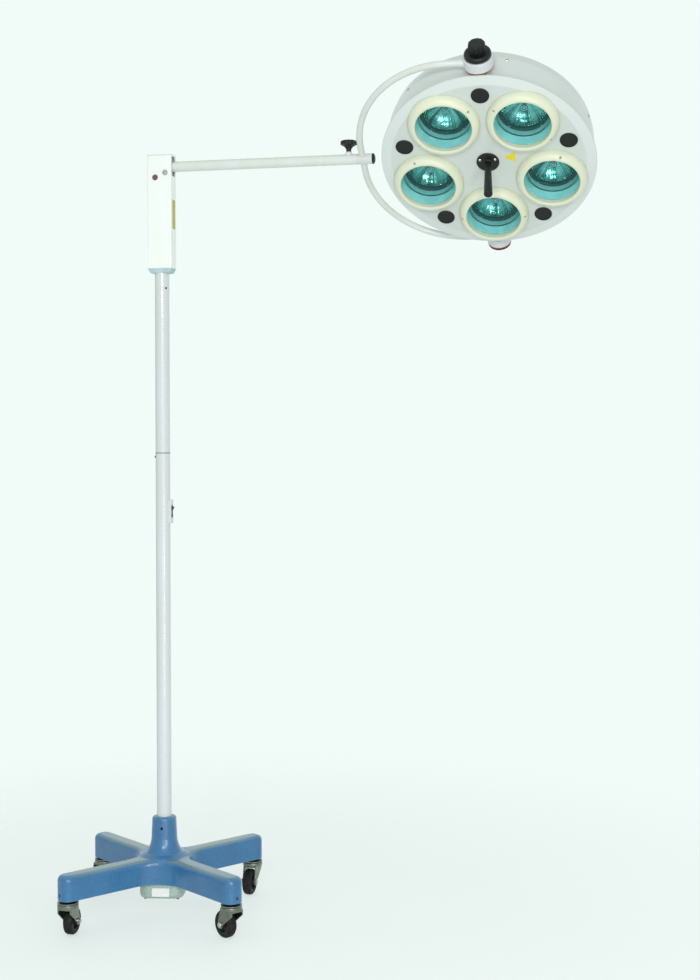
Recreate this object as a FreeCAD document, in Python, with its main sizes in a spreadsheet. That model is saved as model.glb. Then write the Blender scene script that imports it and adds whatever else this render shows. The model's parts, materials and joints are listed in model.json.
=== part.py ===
import FreeCAD, Part
import math
import os

import Sketcher
from FreeCAD import Placement, Rotation, Vector

# Floor-standing five-reflector examination lamp, in millimetres.
# Origin: on the floor, on the column's axis. +Z up. +X along the lamp arm at rest.

DIMENSIONS = {
    # fits
    "running_gap": 0.05,
    "face_gap": 0.3,
    # base casting
    "arm_pitch_circle": 268,
    "arm_end_reach": 290,
    "arm_half_width": 23.5,
    "arm_end_corner": 20,
    "arm_cove_radius": 75,
    "casting_bottom": 86,
    "casting_top": 144,
    "casting_edge_round": 13,
    "collar_root": 106,
    "collar_top": 236,
    "collar_radius": 29,
    "collar_waist_radius": 31,
    "collar_waist_height": 184,
    "collar_flare_radius": 44,
    "collar_flare_height": 151,
    "collar_foot_radius": 60,
    "collar_edge_round": 6,
    "flare_curve_radius": 60,
    "transformer_recess_radius": 49,
    "transformer_recess_top": 98,
    "cable_hole_radius": 10,
    "base_yaw": 53,
    # transformer and its housing
    "housing_width": 107,
    "housing_bottom": 48,
    "housing_corner": 24,
    "housing_edge_round": 11,
    "housing_wall": 2,
    "housing_screw_offset": 39,
    "housing_screw_grip": 10,
    "transformer_outer_radius": 46,
    "transformer_inner_radius": 17,
    "transformer_bottom": 53,
    "transformer_top": 95,
    "transformer_round": 14,
    "gland_height": 68,
    "gland_radius": 6,
    "gland_nut_radius": 9,
    "gland_length": 16,
    "gland_mouth_radius": 4.8,
    "gland_root": 5,
    # small screws
    "screw_radius": 2,
    "screw_head_radius": 3.6,
    "screw_head_height": 2,
    "flat_head_height": 1.5,
    "screw_dome_share": 0.6,
    "set_screw_height": 211,
    "set_screw_radius": 3.5,
    "set_screw_socket_radius": 1.9,
    "set_screw_socket_depth": 3,
    "set_screw_angle": 276,
    "seam_screw_height": 1103,
    "seam_screw_angle": 192,
    # casters
    "stem_radius": 5.5,
    "stem_top": 120,
    "stem_rivet_radius": 8,
    "stem_rivet_bottom": 61,
    "race_radius": 24.5,
    "race_cup_bottom": 77,
    "race_cup_top": 84.5,
    "race_round": 2,
    "stem_nut_radius": 9,
    "fork_crown_bottom": 65.7,
    "fork_inner_half_width": 14,
    "fork_plate": 2.5,
    "fork_rear_drop": 8,
    "fork_front_drop": 4,
    "race_groove_depth": 1.5,
    "caster_trail": 22,
    "fork_eye_radius": 9,
    "wheel_radius": 31.5,
    "wheel_rim_radius": 23,
    "tyre_half_width": 11,
    "tyre_crown": 7,
    "hub_half_width": 13.4,
    "hub_radius": 8,
    "web_half_width": 3,
    "wheel_rim_wall": 4,
    "axle_radius": 4,
    "axle_head_radius": 6.5,
    "axle_head_height": 4,
    "axle_dome_radius": 4.5,
    "axle_end_reach": 2,
    # column and its swivel
    "column_radius": 17.5,
    "column_wall": 2.5,
    "column_foot": 112,
    "seam_height": 1112,
    "washer_thickness": 1.6,
    "washer_radius": 17.9,
    "spindle_reach": 110,
    "spindle_wall": 4,
    "upper_column_top": 1575,
    # mains switch on the column
    "switch_height": 971,
    "switch_half_length": 28.5,
    "switch_half_width": 8,
    "switch_front": 23,
    "switch_plug_back": 12,
    "switch_plug_half_length": 24,
    "switch_plug_half_width": 6,
    "rocker_pivot_reach": 15,
    "rocker_pin_radius": 1.2,
    "rocker_back_half": 3,
    "rocker_edge": 4,
    "rocker_half_width": 4.6,
    "rocker_half_length": 12.5,
    "rocker_high_side": 27.5,
    "rocker_middle": 22.5,
    "rocker_low_side": 24,
    "rocker_clearance": 3.5,
    # spring box at the column's head
    "box_half_length": 30,
    "box_half_depth": 20,
    "box_wall": 2,
    "box_bottom": 1557,
    "box_top": 1828,
    "box_cap_thickness": 2,
    "box_cap_overhang": 0.6,
    "box_corner": 3,
    "box_foot_bottom": 1546,
    "box_foot_half_length": 24,
    "box_foot_half_depth": 18.5,
    "slot_half_width": 13.5,
    "slot_bottom": 1779,
    "slot_top": 1826,
    # arm mechanism
    "arm_height": 1802,
    "pivot_x": 15,
    "pivot_z": 1786,
    "pivot_radius": 5,
    "pivot_head_radius": 6.5,
    "pivot_head_height": 4.5,
    "pivot_nut_height": 3,
    "pin_x": -10,
    "pin_z": 1775,
    "pin_radius": 3,
    "crank_half_width": 12,
    "crank_ear_gap": 7,
    "crank_front": 26,
    "crank_back": -17,
    "spigot_length": 34,
    "plug_radius": 5.8,
    "plug_height": 1.2,
    "plug_lip": 1,
    "plug_body_depth": 4,
    # balance spring
    "spring_x": -10,
    "spring_coil_radius": 10,
    "spring_wire_radius": 1.9,
    "spring_pitch": 6.5,
    "spring_coil_bottom": 1607,
    "spring_coil_top": 1750,
    "adjuster_radius": 5,
    "adjuster_plug_radius": 6.5,
    "adjuster_plug_height": 12,
    "adjuster_foot": 1576.5,
    "adjuster_nut_radius": 8,
    "adjuster_nut_height": 6,
    "adjuster_disc_radius": 13.5,
    "adjuster_disc_height": 4,
    # lamp arm
    "arm_radius": 12.5,
    "arm_wall": 1.5,
    "arm_end": 484,
    "clamp_reach": 462,
    "boss_radius": 8.5,
    "boss_top_radius": 6,
    "boss_height": 5.5,
    "stud_radius": 3,
    # clamp knob
    "clamp_tip_gap": 1.5,
    "clamp_neck_radius": 6,
    "clamp_neck_height": 5,
    "clamp_knob_radius": 19.5,
    "clamp_knob_height": 27,
    "clamp_rim_height": 11,
    "clamp_knob_lobes": 8,
    "knob_edge_round": 4,
    "lobe_offset": 2.25,
    "lobe_radius": 5,
    # yoke
    "head_reach": 794,
    "head_tilt": 51,
    "sleeve_start": 484.3,
    "sleeve_end": 519,
    "spigot_start": 405,
    "end_cap_length": 6,
    "yoke_reach": 298,
    "yoke_half_height": 259.5,
    "yoke_bend_radius": 225,
    "yoke_tube_radius": 7.75,
    "yoke_tube_wall": 1.25,
    "yoke_tube_inset": 4,
    "hub_base": 251.5,
    "hub_length": 24,
    "upper_hub_radius": 33,
    "lower_hub_radius": 28.5,
    "hub_edge_round": 2.5,
    "ferrule_radius": 9.3,
    "ferrule_length": 10,
    "ferrule_root": 2,
    "hub_cap_length": 8,
    "fibre_washer_thickness": 1.2,
    "fibre_washer_inset": 2.5,
    # tilt knob
    "tilt_disc_radius": 30,
    "tilt_disc_height": 12,
    "tilt_disc_foot_round": 3,
    "tilt_disc_top_round": 5,
    "tilt_grip_radius": 19,
    "tilt_grip_height": 23,
    "tilt_grip_flare": 6,
    "tilt_knob_lobes": 10,
    "tilt_stud_radius": 5,
    # pivots of the lamp head
    "head_pin_radius": 8,
    "head_pin_end": 270,
    "pivot_plate_radius": 30,
    "pivot_plate_base": 229,
    "pivot_plate_thickness": 4,
    "pivot_boss_radius": 22,
    # lamp head shells
    "face_plane": 36,
    "shell_thickness": 1.5,
    "face_radius": 225,
    "rim_radius": 247.5,
    "rim_front": 32,
    "rim_back": 27,
    "wall_radius": 240,
    "wall_front": 22,
    "seam_radius": 238.5,
    "seam_plane": -44,
    "lap_length": 12,
    "back_edge_radius": 234,
    "back_edge_plane": -68,
    "back_round": 16,
    "dome_shoulder_radius": 222,
    "dome_shoulder_plane": -79,
    "dome_plane": -104,
    # lens units
    "lens_count": 5,
    "lens_circle": 151,
    "bezel_radius": 81.5,
    "bezel_opening": 64,
    "bezel_crown": 56,
    "bezel_edge": 38.5,
    "bezel_crown_radius": 70,
    "bezel_dome_radius": 18,
    "bezel_lip_round": 3,
    "bezel_sleeve_wall": 3.4,
    "glass_radius": 66,
    "glass_thickness": 3,
    "glass_front": 43,
    "sleeve_back": 15,
    "panel_hole_radius": 68,
    "retainer_wall": 1.9,
    "reflector_rim_radius": 67.5,
    "reflector_mouth": 60,
    "reflector_apex": -38,
    "reflector_neck": 10,
    "reflector_thickness": 1.2,
    "reflector_curve": 67,
    "holder_radius": 11,
    "holder_spigot_rise": 4,
    "holder_back": -66,
    "bulb_radius": 6.5,
    "bulb_tip": -6,
    "bezel_screw_circle": 74.5,
    "bezel_screw_radius": 1.5,
    "bezel_screw_head": 2.3,
    "bezel_screw_seat": 50,
    "bezel_screw_well": 2.8,
    "bezel_screw_back": 30,
    # other pieces on the face
    "vent_circle": 196.6,
    "vent_flange_radius": 20.5,
    "vent_flange_height": 2.4,
    "vent_body_radius": 17,
    "vent_body_depth": 7,
    "rim_screw_count": 6,
    "rim_screw_angle": 16,
    "rim_screw_plane": -38,
    "handle_flange_radius": 26,
    "handle_flange_height": 4,
    "handle_root_radius": 7.5,
    "handle_end_radius": 10,
    "handle_length": 112,
    "handle_offset": 7,
    "handle_lean": 4.3,
    "handle_end_round": 2,
    "handle_stud_length": 6,
    "handle_screw_reach": 19,
    "handle_screw_angle": 25,
    "handle_fillet": 3,
    "handle_stud_radius": 5,
}

# The transformer housing's sides lie half-way between the arms of the casting.
HOUSING_TURN = 45

# Which way each caster trails, seen from above, in degrees from +X.
CASTER_HEADINGS = {1: 266.0, 2: 236.7, 3: 88.0, 4: 143.0}

doc = FreeCAD.newDocument("ExaminationLamp")


class Size:
    """A size that carries both its number and the sheet expression behind it."""

    def __init__(self, text, value):
        self.text = text
        self.value = value

    def combined(self, sign, other, swapped=False):
        """Join this size and another one, or a plain number, with an arithmetic sign."""
        other = as_size(other)
        first, second = (other, self) if swapped else (self, other)
        results = {
            "+": lambda: first.value + second.value,
            "-": lambda: first.value - second.value,
            "*": lambda: first.value * second.value,
            "/": lambda: first.value / second.value,
        }
        return Size(f"({first.text} {sign} {second.text})", results[sign]())

    def __add__(self, other):
        return self.combined("+", other)

    def __radd__(self, other):
        return self.combined("+", other, swapped=True)

    def __sub__(self, other):
        return self.combined("-", other)

    def __rsub__(self, other):
        return self.combined("-", other, swapped=True)

    def __mul__(self, other):
        return self.combined("*", other)

    def __rmul__(self, other):
        return self.combined("*", other, swapped=True)

    def __truediv__(self, other):
        return self.combined("/", other)

    def __neg__(self):
        return self.combined("*", -1)

    def __float__(self):
        return float(self.value)


def as_size(value):
    """Turn a plain number into a Size."""
    return value if isinstance(value, Size) else Size(repr(float(value)), float(value))


class Dimensions:
    """Every driving dimension as an attribute, filled from the spreadsheet."""


def make_sheet():
    """Write the driving dimensions to the spreadsheet and return them by name."""
    sheet = doc.addObject("Spreadsheet::Sheet", "Dims")
    dims = Dimensions()
    for row, (alias, value) in enumerate(DIMENSIONS.items(), start=1):
        sheet.set(f"A{row}", alias.replace("_", " "))
        sheet.set(f"B{row}", str(value))
        sheet.setAlias(f"B{row}", alias)
        setattr(dims, alias, Size(f"Dims.{alias}", float(value)))
    doc.recompute()
    return dims


D = make_sheet()
NODES = {}


# ---------------------------------------------------------------- building helpers


def bind(item, path, size):
    """Bind one property of a document object to the sheet."""
    item.setExpression(path, as_size(size).text)


def add_node(label, item, placement=None):
    """Register a finished document object as a sub-part and put it in its place."""
    item.Label = label
    if placement is not None:
        item.Placement = placement
    NODES[label] = item
    return item


def arc_between(start, end, radius, turn):
    """Circle arc from start to end that turns left or right, and whether it is reversed."""
    chord = end - start
    sideways = Vector(-chord.y, chord.x, 0).normalize()
    if turn == "right":
        sideways = sideways * -1
    rise = math.sqrt(max(radius**2 - (chord.Length / 2) ** 2, 0.0))
    centre = (start + end) * 0.5 + sideways * rise
    first, last = (start, end) if turn == "left" else (end, start)
    angles = [math.atan2(p.y - centre.y, p.x - centre.x) for p in (first, last)]
    if angles[1] <= angles[0]:
        angles[1] += 2 * math.pi
    circle = Part.Circle(centre, Vector(0, 0, 1), radius)
    return Part.ArcOfCircle(circle, angles[0], angles[1]), turn == "right"


def draw_outline(sketch, points):
    """Draw a closed outline: (across, up), or (across, up, radius, turn) at an arc's end."""
    spots = [Vector(float(p[0]), float(p[1]), 0) for p in points]
    ends = []
    for index, point in enumerate(points):
        start, end = spots[index - 1], spots[index]
        reverse = False
        if len(point) == 4:
            shape, reverse = arc_between(start, end, float(point[2]), point[3])
        else:
            shape = Part.LineSegment(start, end)
        edge = sketch.addGeometry(shape, False)
        ends.append((edge, 2, 1) if reverse else (edge, 1, 2))
        if len(point) == 4:
            name_constraint(sketch, Sketcher.Constraint("Radius", edge, float(point[2])), point[2])
    for index, point in enumerate(points):
        edge, _, last = ends[index]
        follower, first, _ = ends[(index + 1) % len(points)]
        sketch.addConstraint(Sketcher.Constraint("Coincident", edge, last, follower, first))
        across = Sketcher.Constraint("DistanceX", -1, 1, edge, last, float(point[0]))
        name_constraint(sketch, across, point[0])
        upward = Sketcher.Constraint("DistanceY", -1, 1, edge, last, float(point[1]))
        name_constraint(sketch, upward, point[1])


def draw_circle(sketch, across, up, radius):
    """Draw one circle bound to the sheet."""
    centre = Vector(float(across), float(up), 0)
    edge = sketch.addGeometry(Part.Circle(centre, Vector(0, 0, 1), float(radius)), False)
    name_constraint(sketch, Sketcher.Constraint("Radius", edge, float(radius)), radius)
    place_across = Sketcher.Constraint("DistanceX", -1, 1, edge, 3, float(across))
    name_constraint(sketch, place_across, across)
    place_up = Sketcher.Constraint("DistanceY", -1, 1, edge, 3, float(up))
    name_constraint(sketch, place_up, up)


def name_constraint(sketch, constraint, size):
    """Add a dimension to a sketch and bind it to the sheet."""
    index = sketch.addConstraint(constraint)
    sketch.renameConstraint(index, f"size_{index}")
    if isinstance(size, Size):
        bind(sketch, f"Constraints.size_{index}", size)


def new_body(name):
    """Start a PartDesign body."""
    return doc.addObject("PartDesign::Body", name)


def new_sketch(body, plane, height=0):
    """Start a sketch on one of the body's own origin planes, lifted along its normal."""
    sketch = body.newObject("Sketcher::SketchObject", f"{body.Name}_sketch")
    plane_feature = next(f for f in body.Origin.OriginFeatures if f.Role == plane)
    sketch.AttachmentSupport = [(plane_feature, "")]
    sketch.MapMode = "FlatFace"
    bind(sketch, "AttachmentOffset.Base.z", height)
    return sketch


def revolve(body, points, across=0):
    """Turn a profile of (radius, height) points about an upright axis, moved along +X."""
    sketch = new_sketch(body, "XZ_Plane")
    draw_outline(sketch, points)
    bind(sketch, "AttachmentOffset.Base.x", across)
    feature = body.newObject("PartDesign::Revolution", f"{body.Name}_turn")
    feature.Profile = sketch
    feature.ReferenceAxis = (sketch, ["V_Axis"])
    feature.Angle = 360
    return feature


def pad(body, plane, points, length, height=0, symmetric=False):
    """Pad an outline that stands on one of the body's origin planes."""
    sketch = new_sketch(body, plane, height)
    draw_outline(sketch, points)
    feature = body.newObject("PartDesign::Pad", f"{body.Name}_pad")
    feature.Profile = sketch
    feature.SideType = "Symmetric" if symmetric else "One side"
    bind(feature, "Length", length)
    return feature


def pocket(body, sketch, length, symmetric=False, reverse=False):
    """Cut a sketch out of a body and make sure that the cut took something away."""
    doc.recompute()
    before = body.Shape.Volume
    feature = body.newObject("PartDesign::Pocket", f"{body.Name}_pocket")
    feature.Profile = sketch
    feature.SideType = "Symmetric" if symmetric else "One side"
    feature.Reversed = reverse
    bind(feature, "Length", length)
    doc.recompute()
    if not body.Shape.Volume < before:
        raise RuntimeError(f"a pocket of {body.Name} cuts nothing")
    return feature


def repeat_round(body, feature, count):
    """Repeat a feature evenly round the body's upright axis."""
    pattern = body.newObject("PartDesign::PolarPattern", f"{body.Name}_pattern")
    pattern.Originals = [feature]
    axis = next(f for f in body.Origin.OriginFeatures if f.Role == "Z_Axis")
    pattern.Axis = (axis, [""])
    pattern.Angle = 360
    bind(pattern, "Occurrences", count)
    body.Tip = pattern


def round_edges(body, feature, radius, wanted):
    """Fillet the edges of a feature for which wanted(edge) is true."""
    doc.recompute()
    edges = enumerate(feature.Shape.Edges, start=1)
    names = [f"Edge{index}" for index, edge in edges if wanted(edge)]
    fillet = body.newObject("PartDesign::Fillet", f"{body.Name}_fillet")
    fillet.Base = (feature, names)
    bind(fillet, "Radius", radius)
    return fillet


def turned(name, points):
    """A body turned from one profile."""
    body = new_body(name)
    revolve(body, points)
    return body


def tube_profile(outer, inner, bottom, top):
    """Profile of a plain tube or ring."""
    return [(outer, bottom), (outer, top), (inner, top), (inner, bottom)]


def rod_profile(radius, bottom, top):
    """Profile of a plain solid rod."""
    return tube_profile(radius, 0, bottom, top)


def rectangle(half_length, half_depth, corner):
    """Outline of a rectangle with rounded corners, counter-clockwise."""
    flat_x = half_length - corner
    flat_y = half_depth - corner
    return [
        (half_length, -flat_y, corner, "left"),
        (half_length, flat_y),
        (flat_x, half_depth, corner, "left"),
        (-flat_x, half_depth),
        (-half_length, flat_y, corner, "left"),
        (-half_length, -flat_y),
        (-flat_x, -half_depth, corner, "left"),
        (flat_x, -half_depth),
    ]


def placed(item, position, rotation=None):
    """Place a helper solid at a position given as sizes, bound to the sheet."""
    item.Placement = Placement(Vector(*[float(p) for p in position]), rotation or Rotation())
    for axis, distance in zip("xyz", position):
        if isinstance(distance, Size):
            bind(item, f"Placement.Base.{axis}", distance)
    return item


def rod(radius, length, position, rotation=None):
    """A Part cylinder used as a building block or a drill."""
    item = doc.addObject("Part::Cylinder", "rod")
    bind(item, "Radius", radius)
    bind(item, "Height", length)
    return placed(item, position, rotation)


def block(length, width, height, position, rotation=None):
    """A Part box whose position is its lowest corner."""
    item = doc.addObject("Part::Box", "block")
    bind(item, "Length", length)
    bind(item, "Width", width)
    bind(item, "Height", height)
    return placed(item, position, rotation)


def cut(base, *tools):
    """Take one or more tools away from a base."""
    for tool in tools:
        result = doc.addObject("Part::Cut", "cut")
        result.Base = base
        result.Tool = tool
        base = result
    return base


def fuse(*items):
    """Join solids into one."""
    result = doc.addObject("Part::MultiFuse", "joined")
    result.Shapes = list(items)
    return result


def gather(items):
    """Group separate solids in one node."""
    result = doc.addObject("Part::Compound", "group")
    result.Links = list(items)
    return result


def spun(angle):
    """Rotation about +Z."""
    return Rotation(Vector(0, 0, 1), float(angle))


def polar(distance, angle, height=0):
    """Point at a distance and angle round +Z."""
    turn = math.radians(float(angle))
    return Vector(float(distance) * math.cos(turn), float(distance) * math.sin(turn), float(height))


POINTING = {
    "+x": Rotation(Vector(0, 1, 0), 90),
    "-x": Rotation(Vector(0, 1, 0), -90),
    "+y": Rotation(Vector(1, 0, 0), -90),
    "-y": Rotation(Vector(1, 0, 0), 90),
    "-z": Rotation(Vector(1, 0, 0), 180),
}

# Where the assemblies stand: the casting, the lamp arm, the head, its lenses and the two hubs.
BASE_FRAME = Placement(Vector(0, 0, 0), spun(D.base_yaw))
HOUSING_FRAME = Placement(Vector(0, 0, 0), spun(D.base_yaw - HOUSING_TURN))
ARM_FRAME = Placement(Vector(0, 0, float(D.arm_height)), POINTING["+x"])
HEAD_CENTRE = Vector(float(D.head_reach), 0, float(D.arm_height))
HEAD_FRAME = Placement(HEAD_CENTRE, Rotation(Vector(1, 0, 0), 90 + float(D.head_tilt)))
LENS_FRAME = HEAD_FRAME * Placement(Vector(0, 0, 0), spun(-90))
UPPER_HUB_FRAME = HEAD_FRAME * Placement(Vector(0, 0, 0), POINTING["+y"])
LOWER_HUB_FRAME = HEAD_FRAME * Placement(Vector(0, 0, 0), POINTING["-y"])


def screw(radius, head_radius, head_height, length, placement):
    """Round-head screw: its shank runs down from z 0 and its head stands on z 0."""
    points = [
        (0, -length),
        (radius, -length),
        (radius, 0),
        (head_radius, 0),
        (head_radius * D.screw_dome_share, head_height),
        (0, head_height),
    ]
    item = turned("screw", points)
    item.Placement = placement
    return item


# ---------------------------------------------------------------- base


def quarter_outline():
    """One arm of the base and the cove after it, before they are turned to their quarter."""
    end_flat = D.arm_half_width - D.arm_end_corner
    side_end = D.arm_end_reach - D.arm_end_corner
    cove_end = D.arm_half_width + D.arm_cove_radius
    return [
        (D.arm_end_reach, -end_flat, D.arm_end_corner, "left"),
        (D.arm_end_reach, end_flat),
        (side_end, D.arm_half_width, D.arm_end_corner, "left"),
        (cove_end, D.arm_half_width),
        (D.arm_half_width, cove_end, D.arm_cove_radius, "right"),
        (D.arm_half_width, side_end),
    ]


def base_outline():
    """Outline of the four-armed casting, counter-clockwise."""
    points = []
    quarter = quarter_outline()
    for _ in range(4):
        points += quarter
        quarter = [(-p[1], p[0], *p[2:]) for p in quarter]
    return points


def base_casting():
    """Four-armed iron casting with a flared collar that holds the column."""
    body = new_body("casting")
    depth = D.casting_top - D.casting_bottom
    plate = pad(body, "XY_Plane", base_outline(), depth, height=D.casting_bottom)
    round_edges(body, plate, D.casting_edge_round, lambda e: lies_at(e, D.casting_top))
    collar_shoulder = D.collar_radius - D.collar_edge_round
    collar_side = D.collar_top - D.collar_edge_round
    collar = [
        (0, D.collar_root),
        (D.collar_foot_radius, D.collar_root),
        (D.collar_foot_radius, D.casting_top),
        (D.collar_flare_radius, D.collar_flare_height),
        (D.collar_waist_radius, D.collar_waist_height, D.flare_curve_radius, "right"),
        (D.collar_radius, collar_side),
        (collar_shoulder, D.collar_top, D.collar_edge_round, "left"),
        (0, D.collar_top),
    ]
    revolve(body, collar)
    doc.recompute()
    bore_length = D.collar_top - D.column_foot
    hole_length = D.column_foot - D.casting_bottom
    stem_depth = D.stem_top - D.casting_bottom
    set_screw_at = (0, 0, D.set_screw_height)
    set_screw_turn = spun(D.set_screw_angle - D.base_yaw) * POINTING["+x"]
    tools = [
        rod(D.column_radius, bore_length, (0, 0, D.column_foot)),
        rod(D.cable_hole_radius, hole_length, (0, 0, D.casting_bottom)),
        rod(
            D.transformer_recess_radius,
            D.transformer_recess_top - D.casting_bottom,
            (0, 0, D.casting_bottom),
        ),
        rod(D.set_screw_radius, D.collar_radius * 2, set_screw_at, set_screw_turn),
    ]
    for quarter in range(4):
        spot = polar(D.arm_pitch_circle, 90 * quarter, D.casting_bottom)
        tools.append(rod(D.stem_radius, stem_depth, spot))
    for spot in housing_screw_spots(HOUSING_TURN):
        tools.append(rod(D.screw_radius, D.housing_screw_grip, (spot.x, spot.y, D.casting_bottom)))
    add_node("base_casting", cut(body, *tools), BASE_FRAME)


def lies_at(edge, height):
    """Whether a whole edge lies at one height."""
    box = edge.BoundBox
    return abs(box.ZMin - float(height)) < 0.01 and abs(box.ZMax - float(height)) < 0.01


def housing_screw_spots(turn):
    """The four screws at the corners of the transformer housing, turned about the column."""
    reach = float(D.housing_screw_offset) * math.sqrt(2)
    return [polar(reach, HOUSING_TURN + turn + 90 * corner) for corner in range(4)]


def housing_solid(name, inset):
    """Solid rounded tub, smaller all round by an inset and open-topped when inset."""
    body = new_body(name)
    bottom = D.housing_bottom + inset
    half = D.housing_width / 2 - inset
    outline = rectangle(half, half, D.housing_corner - inset)
    tub = pad(body, "XY_Plane", outline, D.casting_bottom - bottom, height=bottom)
    round_edges(body, tub, D.housing_edge_round - inset, lambda e: lies_at(e, bottom))
    return body


def transformer_housing():
    """Pressed tub under the hub of the casting that covers the transformer."""
    gland_at = (0, D.housing_width / 2 - D.housing_wall * 2, D.gland_height)
    tools = [
        housing_solid("housing_inside", D.housing_wall),
        rod(D.gland_radius, D.housing_wall * 4, gland_at, POINTING["+y"]),
    ]
    for spot in housing_screw_spots(0):
        tools.append(rod(D.screw_radius, D.housing_wall * 4, (spot.x, spot.y, D.housing_bottom)))
    add_node("transformer_housing", cut(housing_solid("housing_outside", 0), *tools), HOUSING_FRAME)


def transformer():
    """Toroidal transformer for the five low-voltage bulbs."""
    inner, outer = D.transformer_inner_radius, D.transformer_outer_radius
    low, high = D.transformer_bottom, D.transformer_top
    edge = D.transformer_round
    points = [
        (outer - edge, low),
        (outer, low + edge, edge, "left"),
        (outer, high - edge),
        (outer - edge, high, edge, "left"),
        (inner, high),
        (inner, low),
    ]
    add_node("transformer", turned("toroid", points), HOUSING_FRAME)


def base_screws():
    """Four housing screws, the collar's set screw and the screw under the column's seam."""
    screws = []
    for spot in housing_screw_spots(float(D.base_yaw) - HOUSING_TURN):
        at = Vector(spot.x, spot.y, float(D.housing_bottom))
        length = D.casting_bottom - D.housing_bottom + D.housing_screw_grip
        place = Placement(at, POINTING["-z"])
        screws.append(screw(D.screw_radius, D.screw_head_radius, D.screw_head_height, length, place))
    screws.append(set_screw())
    seam_at = polar(D.column_radius, D.seam_screw_angle, D.seam_screw_height)
    seam_place = Placement(seam_at, spun(D.seam_screw_angle) * POINTING["+x"])
    seam_length = D.column_wall * 2
    screws.append(
        screw(D.screw_radius, D.screw_head_radius, D.screw_head_height, seam_length, seam_place)
    )
    add_node("base_screws", gather(screws))


def set_screw():
    """Headless screw with a hexagon socket that presses on the column's foot."""
    depth = D.collar_waist_radius - D.column_radius - D.set_screw_socket_depth
    socket_bottom = depth - D.set_screw_socket_depth
    points = [
        (0, 0),
        (D.set_screw_radius, 0),
        (D.set_screw_radius, depth),
        (D.set_screw_socket_radius, depth),
        (D.set_screw_socket_radius, socket_bottom),
        (0, socket_bottom),
    ]
    item = turned("set_screw", points)
    at = polar(D.column_radius, D.set_screw_angle, D.set_screw_height)
    item.Placement = Placement(at, spun(D.set_screw_angle) * POINTING["+x"])
    return item


def mains_gland():
    """Cable gland through the rear wall of the transformer housing."""
    wall = D.housing_width / 2
    points = [
        (D.gland_radius / 2, wall - D.gland_root),
        (D.gland_radius, wall - D.gland_root),
        (D.gland_radius, wall),
        (D.gland_nut_radius, wall),
        (D.gland_nut_radius, wall + D.gland_length / 2),
        (D.gland_mouth_radius, wall + D.gland_length),
        (D.gland_radius / 2, wall + D.gland_length),
    ]
    lift = Placement(Vector(0, 0, float(D.gland_height)), POINTING["+y"])
    add_node("mains_gland", turned("gland", points), HOUSING_FRAME * lift)


# ---------------------------------------------------------------- casters


def stem_profile():
    """Caster stem: rivet head under the fork, race cup above it, nut against the casting."""
    return [
        (0, D.stem_rivet_bottom),
        (D.stem_rivet_radius, D.stem_rivet_bottom),
        (D.stem_rivet_radius, D.fork_crown_bottom - D.face_gap),
        (D.stem_radius, D.fork_crown_bottom - D.face_gap),
        (D.stem_radius, D.race_cup_bottom),
        (D.race_radius - D.race_round, D.race_cup_bottom),
        (D.race_radius, D.race_cup_bottom + D.race_round, D.race_round, "left"),
        (D.race_radius, D.race_cup_top - D.race_round * 2),
        (D.stem_nut_radius + 3, D.race_cup_top),
        (D.stem_nut_radius, D.race_cup_top),
        (D.stem_nut_radius, D.casting_bottom),
        (D.stem_radius, D.casting_bottom),
        (D.stem_radius, D.stem_top),
        (0, D.stem_top),
    ]


def caster_spot(number):
    """Where a caster's stem meets the floor plane, in the row's frame."""
    return polar(D.arm_pitch_circle, float(D.base_yaw) + 90 * (number - 1))


def caster_frame(number):
    """Frame on the caster's swivel axis, its +X along the trail of the wheel."""
    return Placement(caster_spot(number), spun(CASTER_HEADINGS[number]))


def wheel_frame(number):
    """Frame at the wheel's centre, its +Z along the axle."""
    centre = Placement(Vector(float(D.caster_trail), 0, float(D.wheel_radius)), POINTING["-y"])
    return caster_frame(number) * centre


def caster_stems():
    """The four riveted stems, fixed in the casting."""
    stems = []
    for number in CASTER_HEADINGS:
        stem = turned("stem", stem_profile())
        stem.Placement = Placement(caster_spot(number), Rotation())
        stems.append(stem)
    add_node("caster_stems", gather(stems))


def fork_side_outline():
    """Side view of a fork leg: broad at the crown, narrowing to the axle's eye."""
    crown_top = D.fork_crown_bottom + D.fork_plate * 2
    crown_reach = D.race_radius - 3
    eye = D.fork_eye_radius
    axle_x, axle_z = D.caster_trail, D.wheel_radius
    return [
        (-crown_reach, crown_top),
        (-crown_reach, D.fork_crown_bottom - D.fork_rear_drop),
        (axle_x - eye, axle_z),
        (axle_x, axle_z - eye, eye, "left"),
        (axle_x + eye, axle_z, eye, "left"),
        (crown_reach + 2, D.fork_crown_bottom - D.fork_front_drop),
        (crown_reach, crown_top),
    ]


def caster_fork(number):
    """Pressed fork: a grooved race ring on a crown with two legs that straddle the wheel."""
    body = new_body(f"fork_{number}")
    width = (D.fork_inner_half_width + D.fork_plate) * 2
    pad(body, "XZ_Plane", fork_side_outline(), width, symmetric=True)
    gap = D.fork_inner_half_width
    below = D.fork_crown_bottom
    gap_sketch = new_sketch(body, "YZ_Plane")
    draw_outline(gap_sketch, [(-gap, 0), (gap, 0), (gap, below), (-gap, below)])
    pocket(body, gap_sketch, D.race_radius * 6, symmetric=True)
    groove = D.race_radius - D.race_groove_depth
    low, high = D.fork_crown_bottom + D.fork_plate, D.race_cup_bottom - D.face_gap
    ring = [
        (0, low),
        (groove, low),
        (D.race_radius, low + D.race_round, D.race_round, "left"),
        (D.race_radius, high - D.race_round),
        (groove, high, D.race_round, "left"),
        (0, high),
    ]
    revolve(body, ring)
    axle_at = (D.caster_trail, width, D.wheel_radius)
    tools = [
        rod(D.stem_radius + D.running_gap, D.race_cup_bottom, (0, 0, 0)),
        rod(D.axle_radius, width * 2, axle_at, POINTING["-y"]),
    ]
    add_node(f"caster_fork_{number}", cut(body, *tools), caster_frame(number))


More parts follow.
